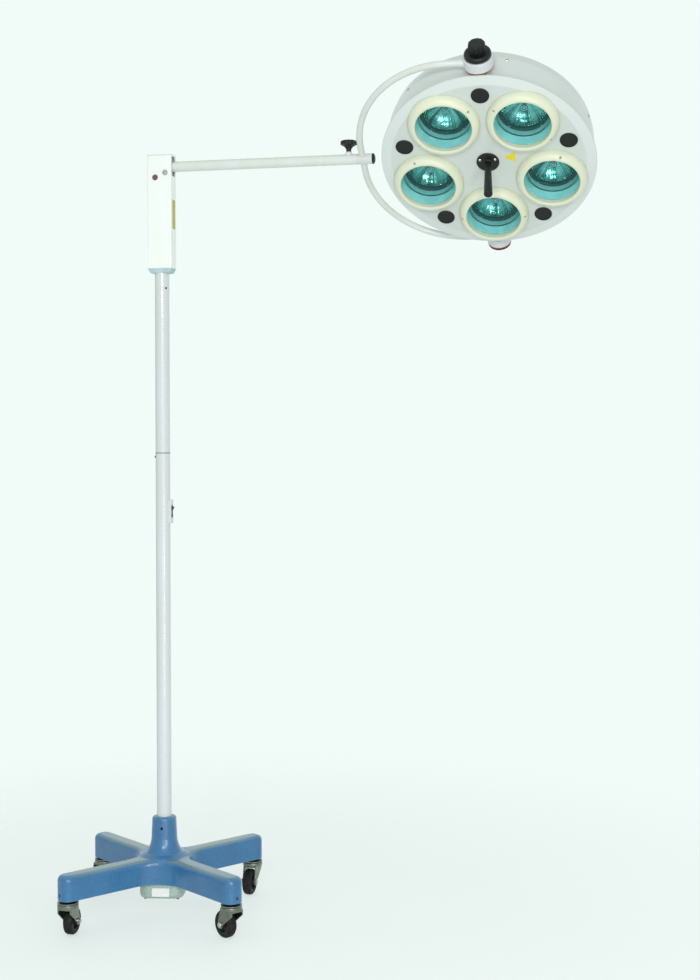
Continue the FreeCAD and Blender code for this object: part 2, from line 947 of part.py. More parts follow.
def caster_axle(number):
    """Axle bolt with a domed head at one end and a nut at the other."""
    reach = D.fork_inner_half_width + D.fork_plate
    head_end = reach + D.axle_head_height
    thread_end = head_end + D.axle_end_reach
    points = [
        (0, -head_end),
        (D.axle_dome_radius, -head_end),
        (D.axle_head_radius, -reach - D.axle_head_height / 2),
        (D.axle_head_radius, -reach),
        (D.axle_radius, -reach),
        (D.axle_radius, reach),
        (D.axle_head_radius, reach),
        (D.axle_head_radius, head_end),
        (D.axle_radius, head_end),
        (D.axle_radius, thread_end),
        (0, thread_end),
    ]
    add_node(f"caster_axle_{number}", turned(f"axle_{number}", points), wheel_frame(number))


def caster_wheel(number):
    """Moulded wheel centre: hub, web and rim."""
    bore = D.axle_radius + D.running_gap
    rim_inner = D.wheel_rim_radius - D.wheel_rim_wall
    rim_half_width = D.tyre_half_width - 1
    points = [
        (bore, -D.hub_half_width),
        (D.hub_radius, -D.hub_half_width),
        (D.hub_radius, -D.web_half_width),
        (rim_inner, -D.web_half_width),
        (rim_inner, -rim_half_width),
        (D.wheel_rim_radius, -rim_half_width),
        (D.wheel_rim_radius, rim_half_width),
        (rim_inner, rim_half_width),
        (rim_inner, D.web_half_width),
        (D.hub_radius, D.web_half_width),
        (D.hub_radius, D.hub_half_width),
        (bore, D.hub_half_width),
    ]
    add_node(f"caster_wheel_{number}", turned(f"wheel_{number}", points), wheel_frame(number))


def caster_tyre(number):
    """Rubber tyre with rounded shoulders."""
    side = D.tyre_half_width
    shoulder = D.wheel_radius - D.tyre_crown
    tread = side - D.tyre_crown
    points = [
        (D.wheel_rim_radius, -side),
        (shoulder, -side),
        (D.wheel_radius, -tread, D.tyre_crown, "left"),
        (D.wheel_radius, tread),
        (shoulder, side, D.tyre_crown, "left"),
        (D.wheel_rim_radius, side),
    ]
    add_node(f"caster_tyre_{number}", turned(f"tyre_{number}", points), wheel_frame(number))


# ---------------------------------------------------------------- column


def lower_column():
    """Lower tube, with a window for the switch and a hole for the seam screw."""
    inner = D.column_radius - D.column_wall
    top = D.seam_height - D.washer_thickness / 2
    tube = turned("lower_tube", tube_profile(D.column_radius, inner, D.column_foot, top))
    seam_at = (0, 0, D.seam_screw_height)
    seam_hole = rod(
        D.screw_radius, D.column_radius + 1, seam_at, spun(D.seam_screw_angle) * POINTING["+x"]
    )
    window = block(
        D.column_radius,
        D.switch_plug_half_width * 2,
        D.switch_plug_half_length * 2,
        (
            D.switch_plug_back,
            -D.switch_plug_half_width,
            D.switch_height - D.switch_plug_half_length,
        ),
    )
    add_node("lower_column", cut(tube, seam_hole, window))


def upper_column():
    """Upper tube, which turns with the spring box on the swivel spindle."""
    inner = D.column_radius - D.column_wall
    bottom = D.seam_height + D.washer_thickness / 2
    profile = tube_profile(D.column_radius, inner, bottom, D.upper_column_top)
    add_node("upper_column", turned("upper_tube", profile))


def swivel_spindle():
    """Bearing spindle fixed in the lower tube: the upper tube turns on its upper half."""
    outer = D.column_radius - D.column_wall - D.running_gap
    low, high = D.seam_height - D.spindle_reach, D.seam_height + D.spindle_reach
    bar = turned("spindle", tube_profile(outer, outer - D.spindle_wall, low, high))
    drill = rod(
        D.screw_radius,
        D.column_radius,
        (0, 0, D.seam_screw_height),
        spun(D.seam_screw_angle) * POINTING["+x"],
    )
    add_node("swivel_spindle", cut(bar, drill))


def swivel_washer():
    """Dark bearing ring between the two tubes, a hair thinner than the gap that it fills."""
    low = D.seam_height - D.washer_thickness / 2
    high = D.seam_height + D.washer_thickness / 2 - D.running_gap
    inner = D.column_radius - D.column_wall
    add_node("swivel_washer", turned("washer", tube_profile(D.washer_radius, inner, low, high)))


def switch_housing():
    """Switch body: a rounded bezel saddled on the tube and a plug through the window."""
    bezel = block(
        D.switch_front - D.switch_plug_back,
        D.switch_half_width * 2,
        D.switch_half_length * 2,
        (D.switch_plug_back, -D.switch_half_width, D.switch_height - D.switch_half_length),
    )
    saddle_bottom = D.switch_height - D.switch_half_length * 2
    saddle = rod(D.column_radius, D.switch_half_length * 4, (0, 0, saddle_bottom))
    plug = block(
        D.column_radius - D.switch_plug_back,
        D.switch_plug_half_width * 2,
        D.switch_plug_half_length * 2,
        (
            D.switch_plug_back,
            -D.switch_plug_half_width,
            D.switch_height - D.switch_plug_half_length,
        ),
    )
    well_reach = D.rocker_half_length + D.rocker_clearance
    well = block(
        D.switch_front,
        (D.rocker_half_width + D.face_gap) * 2,
        well_reach * 2,
        (
            D.switch_plug_back + 1,
            -(D.rocker_half_width + D.face_gap),
            D.switch_height - well_reach,
        ),
    )
    housing = fuse(cut(bezel, saddle), plug)
    pin_at = (D.rocker_pivot_reach, D.switch_half_width * 2, D.switch_height)
    pin_hole = rod(D.rocker_pin_radius, D.switch_half_width * 4, pin_at, POINTING["-y"])
    add_node("switch_housing", cut(housing, well, pin_hole))


def switch_rocker():
    """Rocker with two finger faces, resting with its upper end out, on its own pins."""
    body = new_body("rocker")
    reach = D.rocker_half_length
    middle = D.switch_height
    back = D.rocker_pivot_reach
    outline = [
        (back, middle - D.rocker_back_half),
        (D.rocker_low_side - D.rocker_edge, middle - reach),
        (D.rocker_low_side, middle - reach),
        (D.rocker_middle, middle),
        (D.rocker_high_side, middle + reach - D.rocker_edge / 2),
        (D.rocker_high_side - D.rocker_edge, middle + reach),
        (back, middle + D.rocker_back_half),
    ]
    pad(body, "XZ_Plane", outline, D.rocker_half_width * 2, symmetric=True)
    pin_half = D.switch_plug_half_width - D.face_gap
    pin_at = (D.rocker_pivot_reach, pin_half, middle)
    pin = rod(D.rocker_pin_radius - D.running_gap, pin_half * 2, pin_at, POINTING["-y"])
    add_node("switch_rocker", fuse(body, pin))


# ---------------------------------------------------------------- spring box


def spring_box():
    """Rectangular tube that hides the balance spring, slotted for the lamp arm."""
    shell = new_body("box_shell")
    height = D.box_top - D.box_bottom
    outside = rectangle(D.box_half_length, D.box_half_depth, D.box_corner)
    pad(shell, "XY_Plane", outside, height, height=D.box_bottom)
    hollow = block(
        (D.box_half_length - D.box_wall) * 2,
        (D.box_half_depth - D.box_wall) * 2,
        height,
        (
            D.box_wall - D.box_half_length,
            D.box_wall - D.box_half_depth,
            D.box_bottom,
        ),
    )
    slot = block(
        D.box_half_length,
        D.slot_half_width * 2,
        D.slot_top - D.slot_bottom,
        (D.box_half_length / 2, -D.slot_half_width, D.slot_bottom),
    )
    through = D.box_half_depth * 4
    pivot_at = (D.pivot_x, D.box_half_depth * 2, D.pivot_z)
    pivot_hole = rod(D.pivot_radius, through, pivot_at, POINTING["-y"])
    plug_at = (D.pin_x, 0, D.pin_z)
    plug_hole = rod(D.plug_radius - D.plug_lip, D.box_half_depth * 2, plug_at, POINTING["-y"])
    add_node("spring_box", cut(shell, hollow, slot, pivot_hole, plug_hole))


def box_top_cap():
    """Flat plate that closes the top of the spring box."""
    body = new_body("top_plate")
    over = D.box_cap_overhang
    outline = rectangle(D.box_half_length + over, D.box_half_depth + over, D.box_corner)
    pad(body, "XY_Plane", outline, D.box_cap_thickness, height=D.box_top)
    add_node("box_top_cap", body)


def box_bottom_cap():
    """Tapered foot between the round column and the rectangular box."""
    body = new_body("box_foot")
    low = new_sketch(body, "XY_Plane", D.box_foot_bottom)
    draw_outline(low, rectangle(D.box_foot_half_length, D.box_foot_half_depth, D.box_corner))
    high = new_sketch(body, "XY_Plane", D.box_bottom)
    draw_outline(high, rectangle(D.box_half_length, D.box_half_depth, D.box_corner))
    loft = body.newObject("PartDesign::AdditiveLoft", "box_foot_loft")
    loft.Profile = low
    loft.Sections = [high]
    loft.Ruled = True
    bore = rod(D.column_radius, D.box_bottom, (0, 0, 0))
    add_node("box_bottom_cap", cut(body, bore))


def arm_pivot_bolt():
    """Cross bolt that carries the arm, with a cap nut on the near side."""
    wall = D.box_half_depth
    head = D.pivot_head_radius
    points = [
        (0, -wall - D.pivot_nut_height),
        (head, -wall - D.pivot_nut_height),
        (head, -wall),
        (D.pivot_radius, -wall),
        (D.pivot_radius, wall),
        (head, wall),
        (head, wall + D.pivot_head_height / 3),
        (head / 2, wall + D.pivot_head_height, head, "left"),
        (0, wall + D.pivot_head_height),
    ]
    place = Placement(Vector(float(D.pivot_x), 0, float(D.pivot_z)), POINTING["-y"])
    add_node("arm_pivot_bolt", turned("pivot_bolt", points), place)


def access_plug():
    """Push-in plug over the hole through which the spring's pin is driven."""
    wall = D.box_half_depth
    body_radius = D.plug_radius - D.plug_lip
    points = [
        (0, wall - D.plug_body_depth),
        (body_radius, wall - D.plug_body_depth),
        (body_radius, wall),
        (D.plug_radius, wall),
        (D.plug_radius, wall + D.plug_height / 2),
        (body_radius, wall + D.plug_height),
        (0, wall + D.plug_height),
    ]
    place = Placement(Vector(float(D.pin_x), 0, float(D.pin_z)), POINTING["-y"])
    add_node("access_plug", turned("plug", points), place)


def balance_spring():
    """Close tension spring, as one wire swept along a helix, with its axis upright."""
    coil = float(D.spring_coil_radius)
    low, high = float(D.spring_coil_bottom), float(D.spring_coil_top)
    path = Part.Wire(Part.makeHelix(float(D.spring_pitch), high - low, coil))
    section = Part.Circle(Vector(coil, 0, 0), Vector(0, 1, 0), float(D.spring_wire_radius))
    wire = path.makePipeShell([Part.Wire([section.toShape()])], True, True)
    item = doc.addObject("Part::Feature", "spring")
    item.Shape = wire
    add_node("balance_spring", item, Placement(Vector(float(D.spring_x), 0, low), Rotation()))


def spring_adjuster():
    """Threaded rod with a plate under the spring: it sets the spring's pull."""
    foot = D.adjuster_foot
    nut_top = foot + D.adjuster_nut_height
    top = D.spring_coil_bottom + D.adjuster_plug_height
    seat = D.spring_coil_bottom - D.spring_wire_radius - 1
    points = [
        (0, foot),
        (D.adjuster_nut_radius, foot),
        (D.adjuster_nut_radius, nut_top),
        (D.adjuster_radius, nut_top),
        (D.adjuster_radius, seat - D.adjuster_disc_height),
        (D.adjuster_disc_radius, seat - D.adjuster_disc_height),
        (D.adjuster_disc_radius, seat),
        (D.adjuster_plug_radius, seat),
        (D.adjuster_plug_radius, top),
        (0, top),
    ]
    place = Placement(Vector(float(D.spring_x), 0, 0), Rotation())
    add_node("spring_adjuster", turned("adjuster", points), place)


# ---------------------------------------------------------------- lamp arm


def arm_crank():
    """Bell crank at the arm's inner end: pivot eye, forked spring ear and arm spigot."""
    body = new_body("crank")
    # The plate's corners clear its pin, its pivot and the arm tube by a few millimetres.
    outline = [
        (D.crank_back, D.pin_z - 4),
        (D.pin_x + 3, D.pin_z - 7),
        (D.pivot_x - 4, D.pivot_z - 10),
        (D.crank_front, D.pivot_z - 8),
        (D.crank_front, D.arm_height + D.crank_half_width),
        (D.pivot_x - 13, D.arm_height + D.crank_half_width),
        (D.crank_back, D.pin_z + 6),
    ]
    pad(body, "XZ_Plane", outline, D.crank_half_width * 2, symmetric=True)
    spigot_at = (D.crank_front, 0, D.arm_height)
    spigot = rod(D.arm_radius - D.arm_wall, D.spigot_length, spigot_at, POINTING["+x"])
    ear_gap = block(
        D.pivot_x - D.pivot_radius - 4 - D.crank_back,
        D.crank_ear_gap * 2,
        D.arm_radius * 4,
        (D.crank_back, -D.crank_ear_gap, D.pin_z - D.arm_radius),
    )
    pivot_at = (D.pivot_x, D.box_half_depth * 2, D.pivot_z)
    pivot_hole = rod(
        D.pivot_radius + D.running_gap, D.box_half_depth * 4, pivot_at, POINTING["-y"]
    )
    pin_at = (D.pin_x, D.box_half_depth * 2, D.pin_z)
    pin_hole = rod(D.pin_radius, D.box_half_depth * 4, pin_at, POINTING["-y"])
    add_node("arm_crank", cut(fuse(body, spigot), ear_gap, pivot_hole, pin_hole))


def spring_pin():
    """Pin across the crank's ears, which the spring's hook pulls on."""
    half = D.crank_half_width
    place = Placement(Vector(float(D.pin_x), 0, float(D.pin_z)), POINTING["-y"])
    add_node("spring_pin", turned("pin", rod_profile(D.pin_radius, -half, half)), place)


def arm_tube():
    """Horizontal arm tube with the welded boss of the clamp screw near its end."""
    inner = D.arm_radius - D.arm_wall
    tube = turned("arm", tube_profile(D.arm_radius, inner, D.crank_front, D.arm_end))
    tube.Placement = ARM_FRAME
    foot = D.arm_height + D.arm_radius / 2
    top = D.arm_height + D.arm_radius + D.boss_height
    shoulder = D.arm_height + D.arm_radius + D.boss_height / 2
    boss_points = [
        (0, foot),
        (D.boss_radius, foot),
        (D.boss_radius, shoulder),
        (D.boss_top_radius, top),
        (0, top),
    ]
    boss = turned("boss", boss_points)
    boss.Placement = Placement(Vector(float(D.clamp_reach), 0, 0), Rotation())
    bore = rod(inner, D.arm_end, (0, 0, D.arm_height), POINTING["+x"])
    stud_hole = rod(
        D.stud_radius + D.running_gap, D.arm_radius * 4, (D.clamp_reach, 0, D.arm_height)
    )
    add_node("arm_tube", cut(fuse(tube, cut(boss, bore)), stud_hole))


def lobed_knob(name, points, lobes, rim_radius, low, high):
    """Turned knob with round notches cut between its lobes."""
    body = new_body(name)
    revolve(body, points)
    sketch = new_sketch(body, "XY_Plane", high)
    draw_circle(sketch, rim_radius + D.lobe_offset, 0, D.lobe_radius)
    notch = pocket(body, sketch, high - low)
    repeat_round(body, notch, lobes)
    return body


def clamp_knob():
    """Lobed clamp screw on the arm, backed off so that the yoke's spigot turns freely."""
    stud_end = D.arm_radius - D.arm_wall + D.clamp_tip_gap
    bottom = D.arm_radius + D.boss_height + D.face_gap
    top = bottom + D.clamp_knob_height
    rim = top - D.clamp_rim_height
    edge = D.knob_edge_round
    points = [
        (0, stud_end),
        (D.stud_radius, stud_end),
        (D.stud_radius, bottom),
        (D.clamp_neck_radius, bottom),
        (D.clamp_neck_radius, bottom + D.clamp_neck_height),
        (D.clamp_knob_radius - 1, rim, D.clamp_knob_radius, "right"),
        (D.clamp_knob_radius, rim + 1),
        (D.clamp_knob_radius, top - 1 - edge),
        (D.clamp_knob_radius - edge, top - 1, edge, "left"),
        (0, top),
    ]
    knob = lobed_knob(
        "clamp_head", points, D.clamp_knob_lobes, D.clamp_knob_radius, rim - edge, top
    )
    place = Placement(Vector(float(D.clamp_reach), 0, float(D.arm_height)), Rotation())
    add_node("clamp_knob", knob, place)


# ---------------------------------------------------------------- yoke


def yoke_sleeve():
    """End fitting of the yoke: a sleeve that carries the bent tube and a long spigot."""
    spigot = D.arm_radius - D.arm_wall - D.running_gap
    points = [
        (0, D.spigot_start),
        (spigot, D.spigot_start),
        (spigot, D.sleeve_start),
        (D.arm_radius, D.sleeve_start),
        (D.arm_radius, D.sleeve_end),
        (0, D.sleeve_end),
    ]
    bar = turned("sleeve", points)
    hole = rod(D.yoke_tube_radius, D.arm_radius * 4, (0, 0, 0))
    crossing = Vector(0, 0, float(D.head_reach - D.yoke_reach))
    across = Placement(crossing, ARM_FRAME.Rotation.inverted() * UPPER_HUB_FRAME.Rotation)
    half_back = Placement(Vector(0, 0, -2 * float(D.arm_radius)), Rotation())
    hole.Placement = across * half_back
    add_node("yoke_sleeve", cut(bar, hole), ARM_FRAME)


def sleeve_end_cap():
    """Domed plug in the open end of the sleeve."""
    end = D.sleeve_end
    points = [
        (0, end),
        (D.arm_radius, end),
        (D.arm_radius, end + D.end_cap_length / 2),
        (D.arm_radius / 2, end + D.end_cap_length, D.arm_radius, "left"),
        (0, end + D.end_cap_length),
    ]
    add_node("sleeve_end_cap", turned("sleeve_plug", points), ARM_FRAME)


def yoke_tube():
    """Bent tube that reaches round one side of the head from hub to hub."""
    body = new_body("yoke")
    reach, half = D.yoke_reach, D.yoke_half_height
    bend = D.yoke_bend_radius
    end = D.yoke_tube_inset - D.lower_hub_radius
    path = new_sketch(body, "XY_Plane")
    spots = [
        (end, half),
        (bend - reach, half),
        (-reach, half - bend, bend, "left"),
        (-reach, bend - half),
        (bend - reach, -half, bend, "left"),
        (end, -half),
    ]
    draw_open_path(path, spots)
    section = new_sketch(body, "YZ_Plane", end)
    draw_circle(section, half, 0, D.yoke_tube_radius)
    draw_circle(section, half, 0, D.yoke_tube_radius - D.yoke_tube_wall)
    pipe = body.newObject("PartDesign::AdditivePipe", "yoke_pipe")
    pipe.Profile = section
    pipe.Spine = path
    add_node("yoke_tube", body, HEAD_FRAME)


def draw_open_path(sketch, points):
    """Draw a run of lines and arcs, in the same notation as a closed outline."""
    spots = [Vector(float(p[0]), float(p[1]), 0) for p in points]
    previous = None
    for index in range(1, len(points)):
        point = points[index]
        reverse = False
        if len(point) == 4:
            shape, reverse = arc_between(spots[index - 1], spots[index], float(point[2]), point[3])
        else:
            shape = Part.LineSegment(spots[index - 1], spots[index])
        edge = sketch.addGeometry(shape, False)
        first, last = (2, 1) if reverse else (1, 2)
        if len(point) == 4:
            name_constraint(sketch, Sketcher.Constraint("Radius", edge, float(point[2])), point[2])
        if previous:
            sketch.addConstraint(Sketcher.Constraint("Coincident", *previous, edge, first))
        else:
            pin_vertex(sketch, edge, first, points[0])
        pin_vertex(sketch, edge, last, point)
        previous = (edge, last)


def pin_vertex(sketch, edge, end, point):
    """Hold one end of an edge at its sheet-bound place."""
    across = Sketcher.Constraint("DistanceX", -1, 1, edge, end, float(point[0]))
    name_constraint(sketch, across, point[0])
    upward = Sketcher.Constraint("DistanceY", -1, 1, edge, end, float(point[1]))
    name_constraint(sketch, upward, point[1])


def hub_solid(name, radius):
    """Turned hub with its pivot bore, a side ferrule and the socket of the yoke tube."""
    top = D.hub_base + D.hub_length
    bore = D.head_pin_radius + D.running_gap
    edge = D.hub_edge_round
    stud = D.tilt_stud_radius + D.running_gap
    shoulder = D.head_pin_end + D.face_gap
    points = [
        (bore, D.hub_base),
        (radius, D.hub_base),
        (radius, top - edge),
        (radius - edge, top, edge, "left"),
        (stud, top),
        (stud, shoulder),
        (bore, shoulder),
    ]
    hub = turned(name, points)
    ferrule_at = (D.ferrule_root - radius, 0, D.yoke_half_height)
    ferrule_length = D.ferrule_length + D.ferrule_root
    ferrule = rod(D.ferrule_radius, ferrule_length, ferrule_at, POINTING["-x"])
    socket_at = (D.yoke_tube_inset - D.lower_hub_radius, 0, D.yoke_half_height)
    socket = rod(D.yoke_tube_radius, radius * 2, socket_at, POINTING["-x"])
    return cut(fuse(hub, ferrule), socket)


def upper_hub():
    """Upper yoke hub, which the tilt knob clamps to the head's pivot."""
    hub = hub_solid("upper_hub_turning", D.upper_hub_radius)
    add_node("upper_hub", hub, UPPER_HUB_FRAME)


def lower_hub():
    """Lower yoke hub on the opposite pivot of the head."""
    hub = hub_solid("lower_hub_turning", D.lower_hub_radius)
    add_node("lower_hub", hub, LOWER_HUB_FRAME)


def lower_hub_cap():
    """Push-in cap that closes the lower hub."""
    base = D.hub_base + D.hub_length
    radius = D.lower_hub_radius
    points = [
        (0, base),
        (radius - 1, base),
        (radius - 1, base + D.hub_cap_length - 1.5),
        (radius - 3, base + D.hub_cap_length),
        (0, base + D.hub_cap_length),
    ]
    add_node("lower_hub_cap", turned("hub_plug", points), LOWER_HUB_FRAME)


def hub_washers():
    """Fibre friction washers, one under each hub."""
    low = D.hub_base - D.fibre_washer_thickness
    bore = D.head_pin_radius + D.running_gap
    washers = []
    for radius, frame in (
        (D.upper_hub_radius, UPPER_HUB_FRAME),
        (D.lower_hub_radius, LOWER_HUB_FRAME),
    ):
        outer = radius - D.fibre_washer_inset
        washer = turned("fibre_washer", tube_profile(outer, bore, low, D.hub_base))
        washer.Placement = frame
        washers.append(washer)
    add_node("hub_washers", gather(washers))


def tilt_knob():
    """Tilt clamp knob: a broad disc under a finned grip, with its screw through the hub."""
    base = D.hub_base + D.hub_length + D.face_gap
    disc_top = base + D.tilt_disc_height
    top = disc_top + D.tilt_grip_height
    stud_end = D.head_pin_end + D.face_gap
    foot_round, top_round = D.tilt_disc_foot_round, D.tilt_disc_top_round
    edge = D.knob_edge_round
    points = [
        (0, stud_end),
        (D.tilt_stud_radius, stud_end),
        (D.tilt_stud_radius, base),
        (D.tilt_disc_radius - foot_round, base),
        (D.tilt_disc_radius, base + foot_round, foot_round, "left"),
        (D.tilt_disc_radius, disc_top - top_round),
        (D.tilt_disc_radius - top_round, disc_top, top_round, "left"),
        (D.tilt_grip_radius - edge, disc_top),
        (D.tilt_grip_radius, disc_top + D.tilt_grip_flare),
        (D.tilt_grip_radius, top - edge),
        (D.tilt_grip_radius - edge, top, edge, "left"),
        (0, top),
    ]
    knob = lobed_knob(
        "tilt_head", points, D.tilt_knob_lobes, D.tilt_grip_radius, disc_top + 1, top
    )
    add_node("tilt_knob", knob, UPPER_HUB_FRAME)


# ---------------------------------------------------------------- lamp head


def head_pivots():
    """The two pivot pins of the head: inner plate, wall boss and pin, welded in one."""
    plate_top = D.pivot_plate_base + D.pivot_plate_thickness
    wall_inside = D.wall_radius - D.shell_thickness * 2
    boss_base = D.wall_radius + D.face_gap
    boss_top = D.hub_base - D.fibre_washer_thickness - D.face_gap / 3
    pins = []
    for frame in (UPPER_HUB_FRAME, LOWER_HUB_FRAME):
        points = [
            (0, D.pivot_plate_base),
            (D.pivot_plate_radius, D.pivot_plate_base),
            (D.pivot_plate_radius, plate_top),
            (D.pivot_boss_radius / 2, plate_top),
            (D.pivot_boss_radius / 2, wall_inside),
            (D.head_pin_radius, wall_inside),
            (D.head_pin_radius, boss_base),
            (D.pivot_boss_radius, boss_base),
            (D.pivot_boss_radius, boss_top),
            (D.head_pin_radius, boss_top),
            (D.head_pin_radius, D.head_pin_end),
            (0, D.head_pin_end),
        ]
        pin = turned("pivot_pin", points)
        pin.Placement = frame
        pins.append(pin)
    add_node("head_pivots", gather(pins))


def fivefold_spots(distance, first):
    """Evenly spaced points round the face, as many as there are lens units."""
    count = int(D.lens_count.value)
    return [polar(distance, first + 360 / count * number) for number in range(count)]


def lens_spots():
    """Centres of the five lens units on the face, the first one lowest."""
    return fivefold_spots(D.lens_circle, -90)


def vent_spots():
    """Centres of the vent plugs, each half-way between two lens units."""
    return fivefold_spots(D.vent_circle, -54)


def bezel_screw_places():
    """Feet of the ten bezel screws: two per lens unit, either side of its radius."""
    places = []
    for spot in lens_spots():
        sideways = Vector(-spot.y, spot.x, 0).normalize() * float(D.bezel_screw_circle)
        places += [spot + sideways, spot - sideways]
    return places


def front_panel():
    """Spun face of the head with its rolled rim and side wall, pierced for every fitting."""
    skin = D.shell_thickness
    face = D.face_plane
    points = [
        (0, face - skin),
        (D.face_radius, face - skin),
        (D.rim_radius - skin * 2, D.rim_front - skin),
        (D.rim_radius - skin * 2, D.rim_back + skin),
        (D.wall_radius - skin, D.wall_front),
        (D.seam_radius - skin, D.seam_plane),
        (D.seam_radius, D.seam_plane),
        (D.wall_radius, D.wall_front),
        (D.rim_radius - skin, D.rim_back),
        (D.rim_radius, D.rim_back + skin, skin, "left"),
        (D.rim_radius, D.rim_front - skin),
        (D.rim_radius - skin, D.rim_front, skin, "left"),
        (D.face_radius, face),
        (0, face),
    ]
    body = turned("panel", points)
    tools = [rod(D.handle_stud_radius, D.face_plane, (0, D.handle_offset, face - skin * 2))]
    for spot in lens_spots():
        tools.append(rod(D.panel_hole_radius, skin * 4, (spot.x, spot.y, face - skin * 2)))
    for spot in bezel_screw_places():
        tools.append(rod(D.bezel_screw_radius, skin * 4, (spot.x, spot.y, face - skin * 2)))
    for spot in vent_spots():
        tools.append(rod(D.vent_body_radius, skin * 4, (spot.x, spot.y, face - skin * 2)))
    tools += rim_screw_drills()
    for direction in ("+y", "-y"):
        tools.append(rod(D.head_pin_radius, D.rim_radius, (0, 0, 0), POINTING[direction]))
    add_node("front_panel", cut(body, fuse(*tools)), HEAD_FRAME)


def rim_screw_turns():
    """Directions of the screws round the head's side wall."""
    count = int(D.rim_screw_count.value)
    step = 360 / count
    return [float(D.rim_screw_angle) + step * number for number in range(count)]


def rim_screw_drills():
    """Radial holes for the rim screws."""
    at = (0, 0, D.rim_screw_plane)
    return [
        rod(D.screw_radius, D.rim_radius, at, spun(angle) * POINTING["+x"])
        for angle in rim_screw_turns()
    ]


def rear_shell():
    """Spun rear cover: a lap inside the panel's skirt, a round shoulder and a low dome."""
    skin = D.shell_thickness
    lap_radius = D.seam_radius - skin - D.running_gap * 2
    lap_top = D.seam_plane + D.lap_length
    dome_rise = D.dome_shoulder_plane - D.dome_plane
    dome_radius = (D.dome_shoulder_radius * D.dome_shoulder_radius + dome_rise * dome_rise) / (
        dome_rise * 2
    )
    points = [
        (0, D.dome_plane),
        (D.dome_shoulder_radius, D.dome_shoulder_plane, dome_radius, "left"),
        (D.back_edge_radius, D.back_edge_plane, D.back_round, "left"),
        (D.seam_radius, D.seam_plane - D.running_gap),
        (lap_radius, D.seam_plane - D.running_gap),
        (lap_radius, lap_top),
        (lap_radius - skin, lap_top),
        (lap_radius - skin, D.seam_plane),
        (D.back_edge_radius - skin, D.back_edge_plane),
        (
            D.dome_shoulder_radius - skin,
            D.dome_shoulder_plane + skin,
            D.back_round - skin,
            "right",
        ),
        (0, D.dome_plane + skin, dome_radius - skin, "right"),
    ]
    add_node("rear_shell", cut(turned("rear", points), fuse(*rim_screw_drills())), HEAD_FRAME)


def five_fold(name, points):
    """Five equal turned pieces, one at each lens."""
    body = new_body(name)
    repeat_round(body, revolve(body, points, D.lens_circle), D.lens_count)
    return body


def lens_bezels():
    """Five moulded bezels: a rounded flange on the face and a sleeve through the panel."""
    foot = D.face_plane + D.running_gap
    sleeve = D.bezel_opening + D.bezel_sleeve_wall
    lip = D.bezel_lip_round
    points = [
        (D.glass_radius, D.sleeve_back),
        (sleeve, D.sleeve_back),
        (sleeve, foot),
        (D.bezel_radius, foot),
        (D.bezel_radius, D.bezel_edge),
        (D.bezel_crown_radius, D.bezel_crown, D.bezel_dome_radius, "left"),
        (D.bezel_opening + lip, D.bezel_crown),
        (D.bezel_opening, D.bezel_crown - lip, lip, "left"),
        (D.bezel_opening, D.glass_front),
        (D.glass_radius, D.glass_front),
    ]
    bezels = five_fold("bezel", points)
    bezels.Placement = Placement(Vector(0, 0, 0), spun(-90))
    seat = D.bezel_screw_seat
    drills = []
    for spot in bezel_screw_places():
        drills.append(rod(D.bezel_screw_radius, D.bezel_crown, (spot.x, spot.y, 0)))
        drills.append(rod(D.bezel_screw_well, D.bezel_crown - seat, (spot.x, spot.y, seat)))
    add_node("lens_bezels", cut(bezels, fuse(*drills)), HEAD_FRAME)


def glass_retainers():
    """Five sleeves that push the filter glasses against the bezels' lips."""
    outer = D.glass_radius - D.running_gap
    back = D.glass_front - D.glass_thickness - D.running_gap
    points = tube_profile(outer, outer - D.retainer_wall, D.sleeve_back, back)
    add_node("glass_retainers", five_fold("retainer", points), LENS_FRAME)


def filter_glasses():
    """Five round heat-filter glasses."""
    outer = D.glass_radius - D.running_gap
    points = rod_profile(outer, D.glass_front - D.glass_thickness, D.glass_front)
    add_node("filter_glasses", five_fold("filter_glass", points), LENS_FRAME)


def reflectors():
    """Five deep reflector cups with a flat rim behind the retainers."""
    skin = D.reflector_thickness
    rim_front = D.sleeve_back - D.running_gap
    curve = D.reflector_curve
    points = [
        (D.reflector_neck + skin, D.reflector_apex - skin),
        (D.reflector_mouth + skin, rim_front - skin, curve + skin, "left"),
        (D.reflector_rim_radius, rim_front - skin),
        (D.reflector_rim_radius, rim_front),
        (D.reflector_mouth, rim_front),
        (D.reflector_neck, D.reflector_apex, curve, "right"),
    ]
    add_node("reflectors", five_fold("reflector", points), LENS_FRAME)


def lampholders():
    """Five ceramic lampholders behind the reflectors."""
    skin = D.reflector_thickness
    points = [
        (0, D.holder_back),
        (D.holder_radius, D.holder_back),
        (D.holder_radius, D.reflector_apex - skin * 2),
        (D.reflector_neck - 1, D.reflector_apex - skin * 2),
        (D.reflector_neck - 1, D.reflector_apex + D.holder_spigot_rise),
        (0, D.reflector_apex + D.holder_spigot_rise),
    ]
    add_node("lampholders", five_fold("lampholder", points), LENS_FRAME)


def bulbs():
    """Five halogen capsules standing on their holders."""
    foot = D.reflector_apex + D.holder_spigot_rise
    shoulder = D.bulb_tip - D.bulb_radius
    points = [
        (0, foot),
        (D.bulb_radius, foot),
        (D.bulb_radius, shoulder),
        (0, D.bulb_tip, D.bulb_radius, "left"),
    ]
    add_node("bulbs", five_fold("bulb", points), LENS_FRAME)


def handle_screw_spots(height):
    """Points on the axes of the handle's two flange screws."""
    centre = Vector(0, float(D.handle_offset), 0)
    angle = float(D.handle_screw_angle)
    return [centre + polar(D.handle_screw_reach, turn, height) for turn in (angle, 180 - angle)]


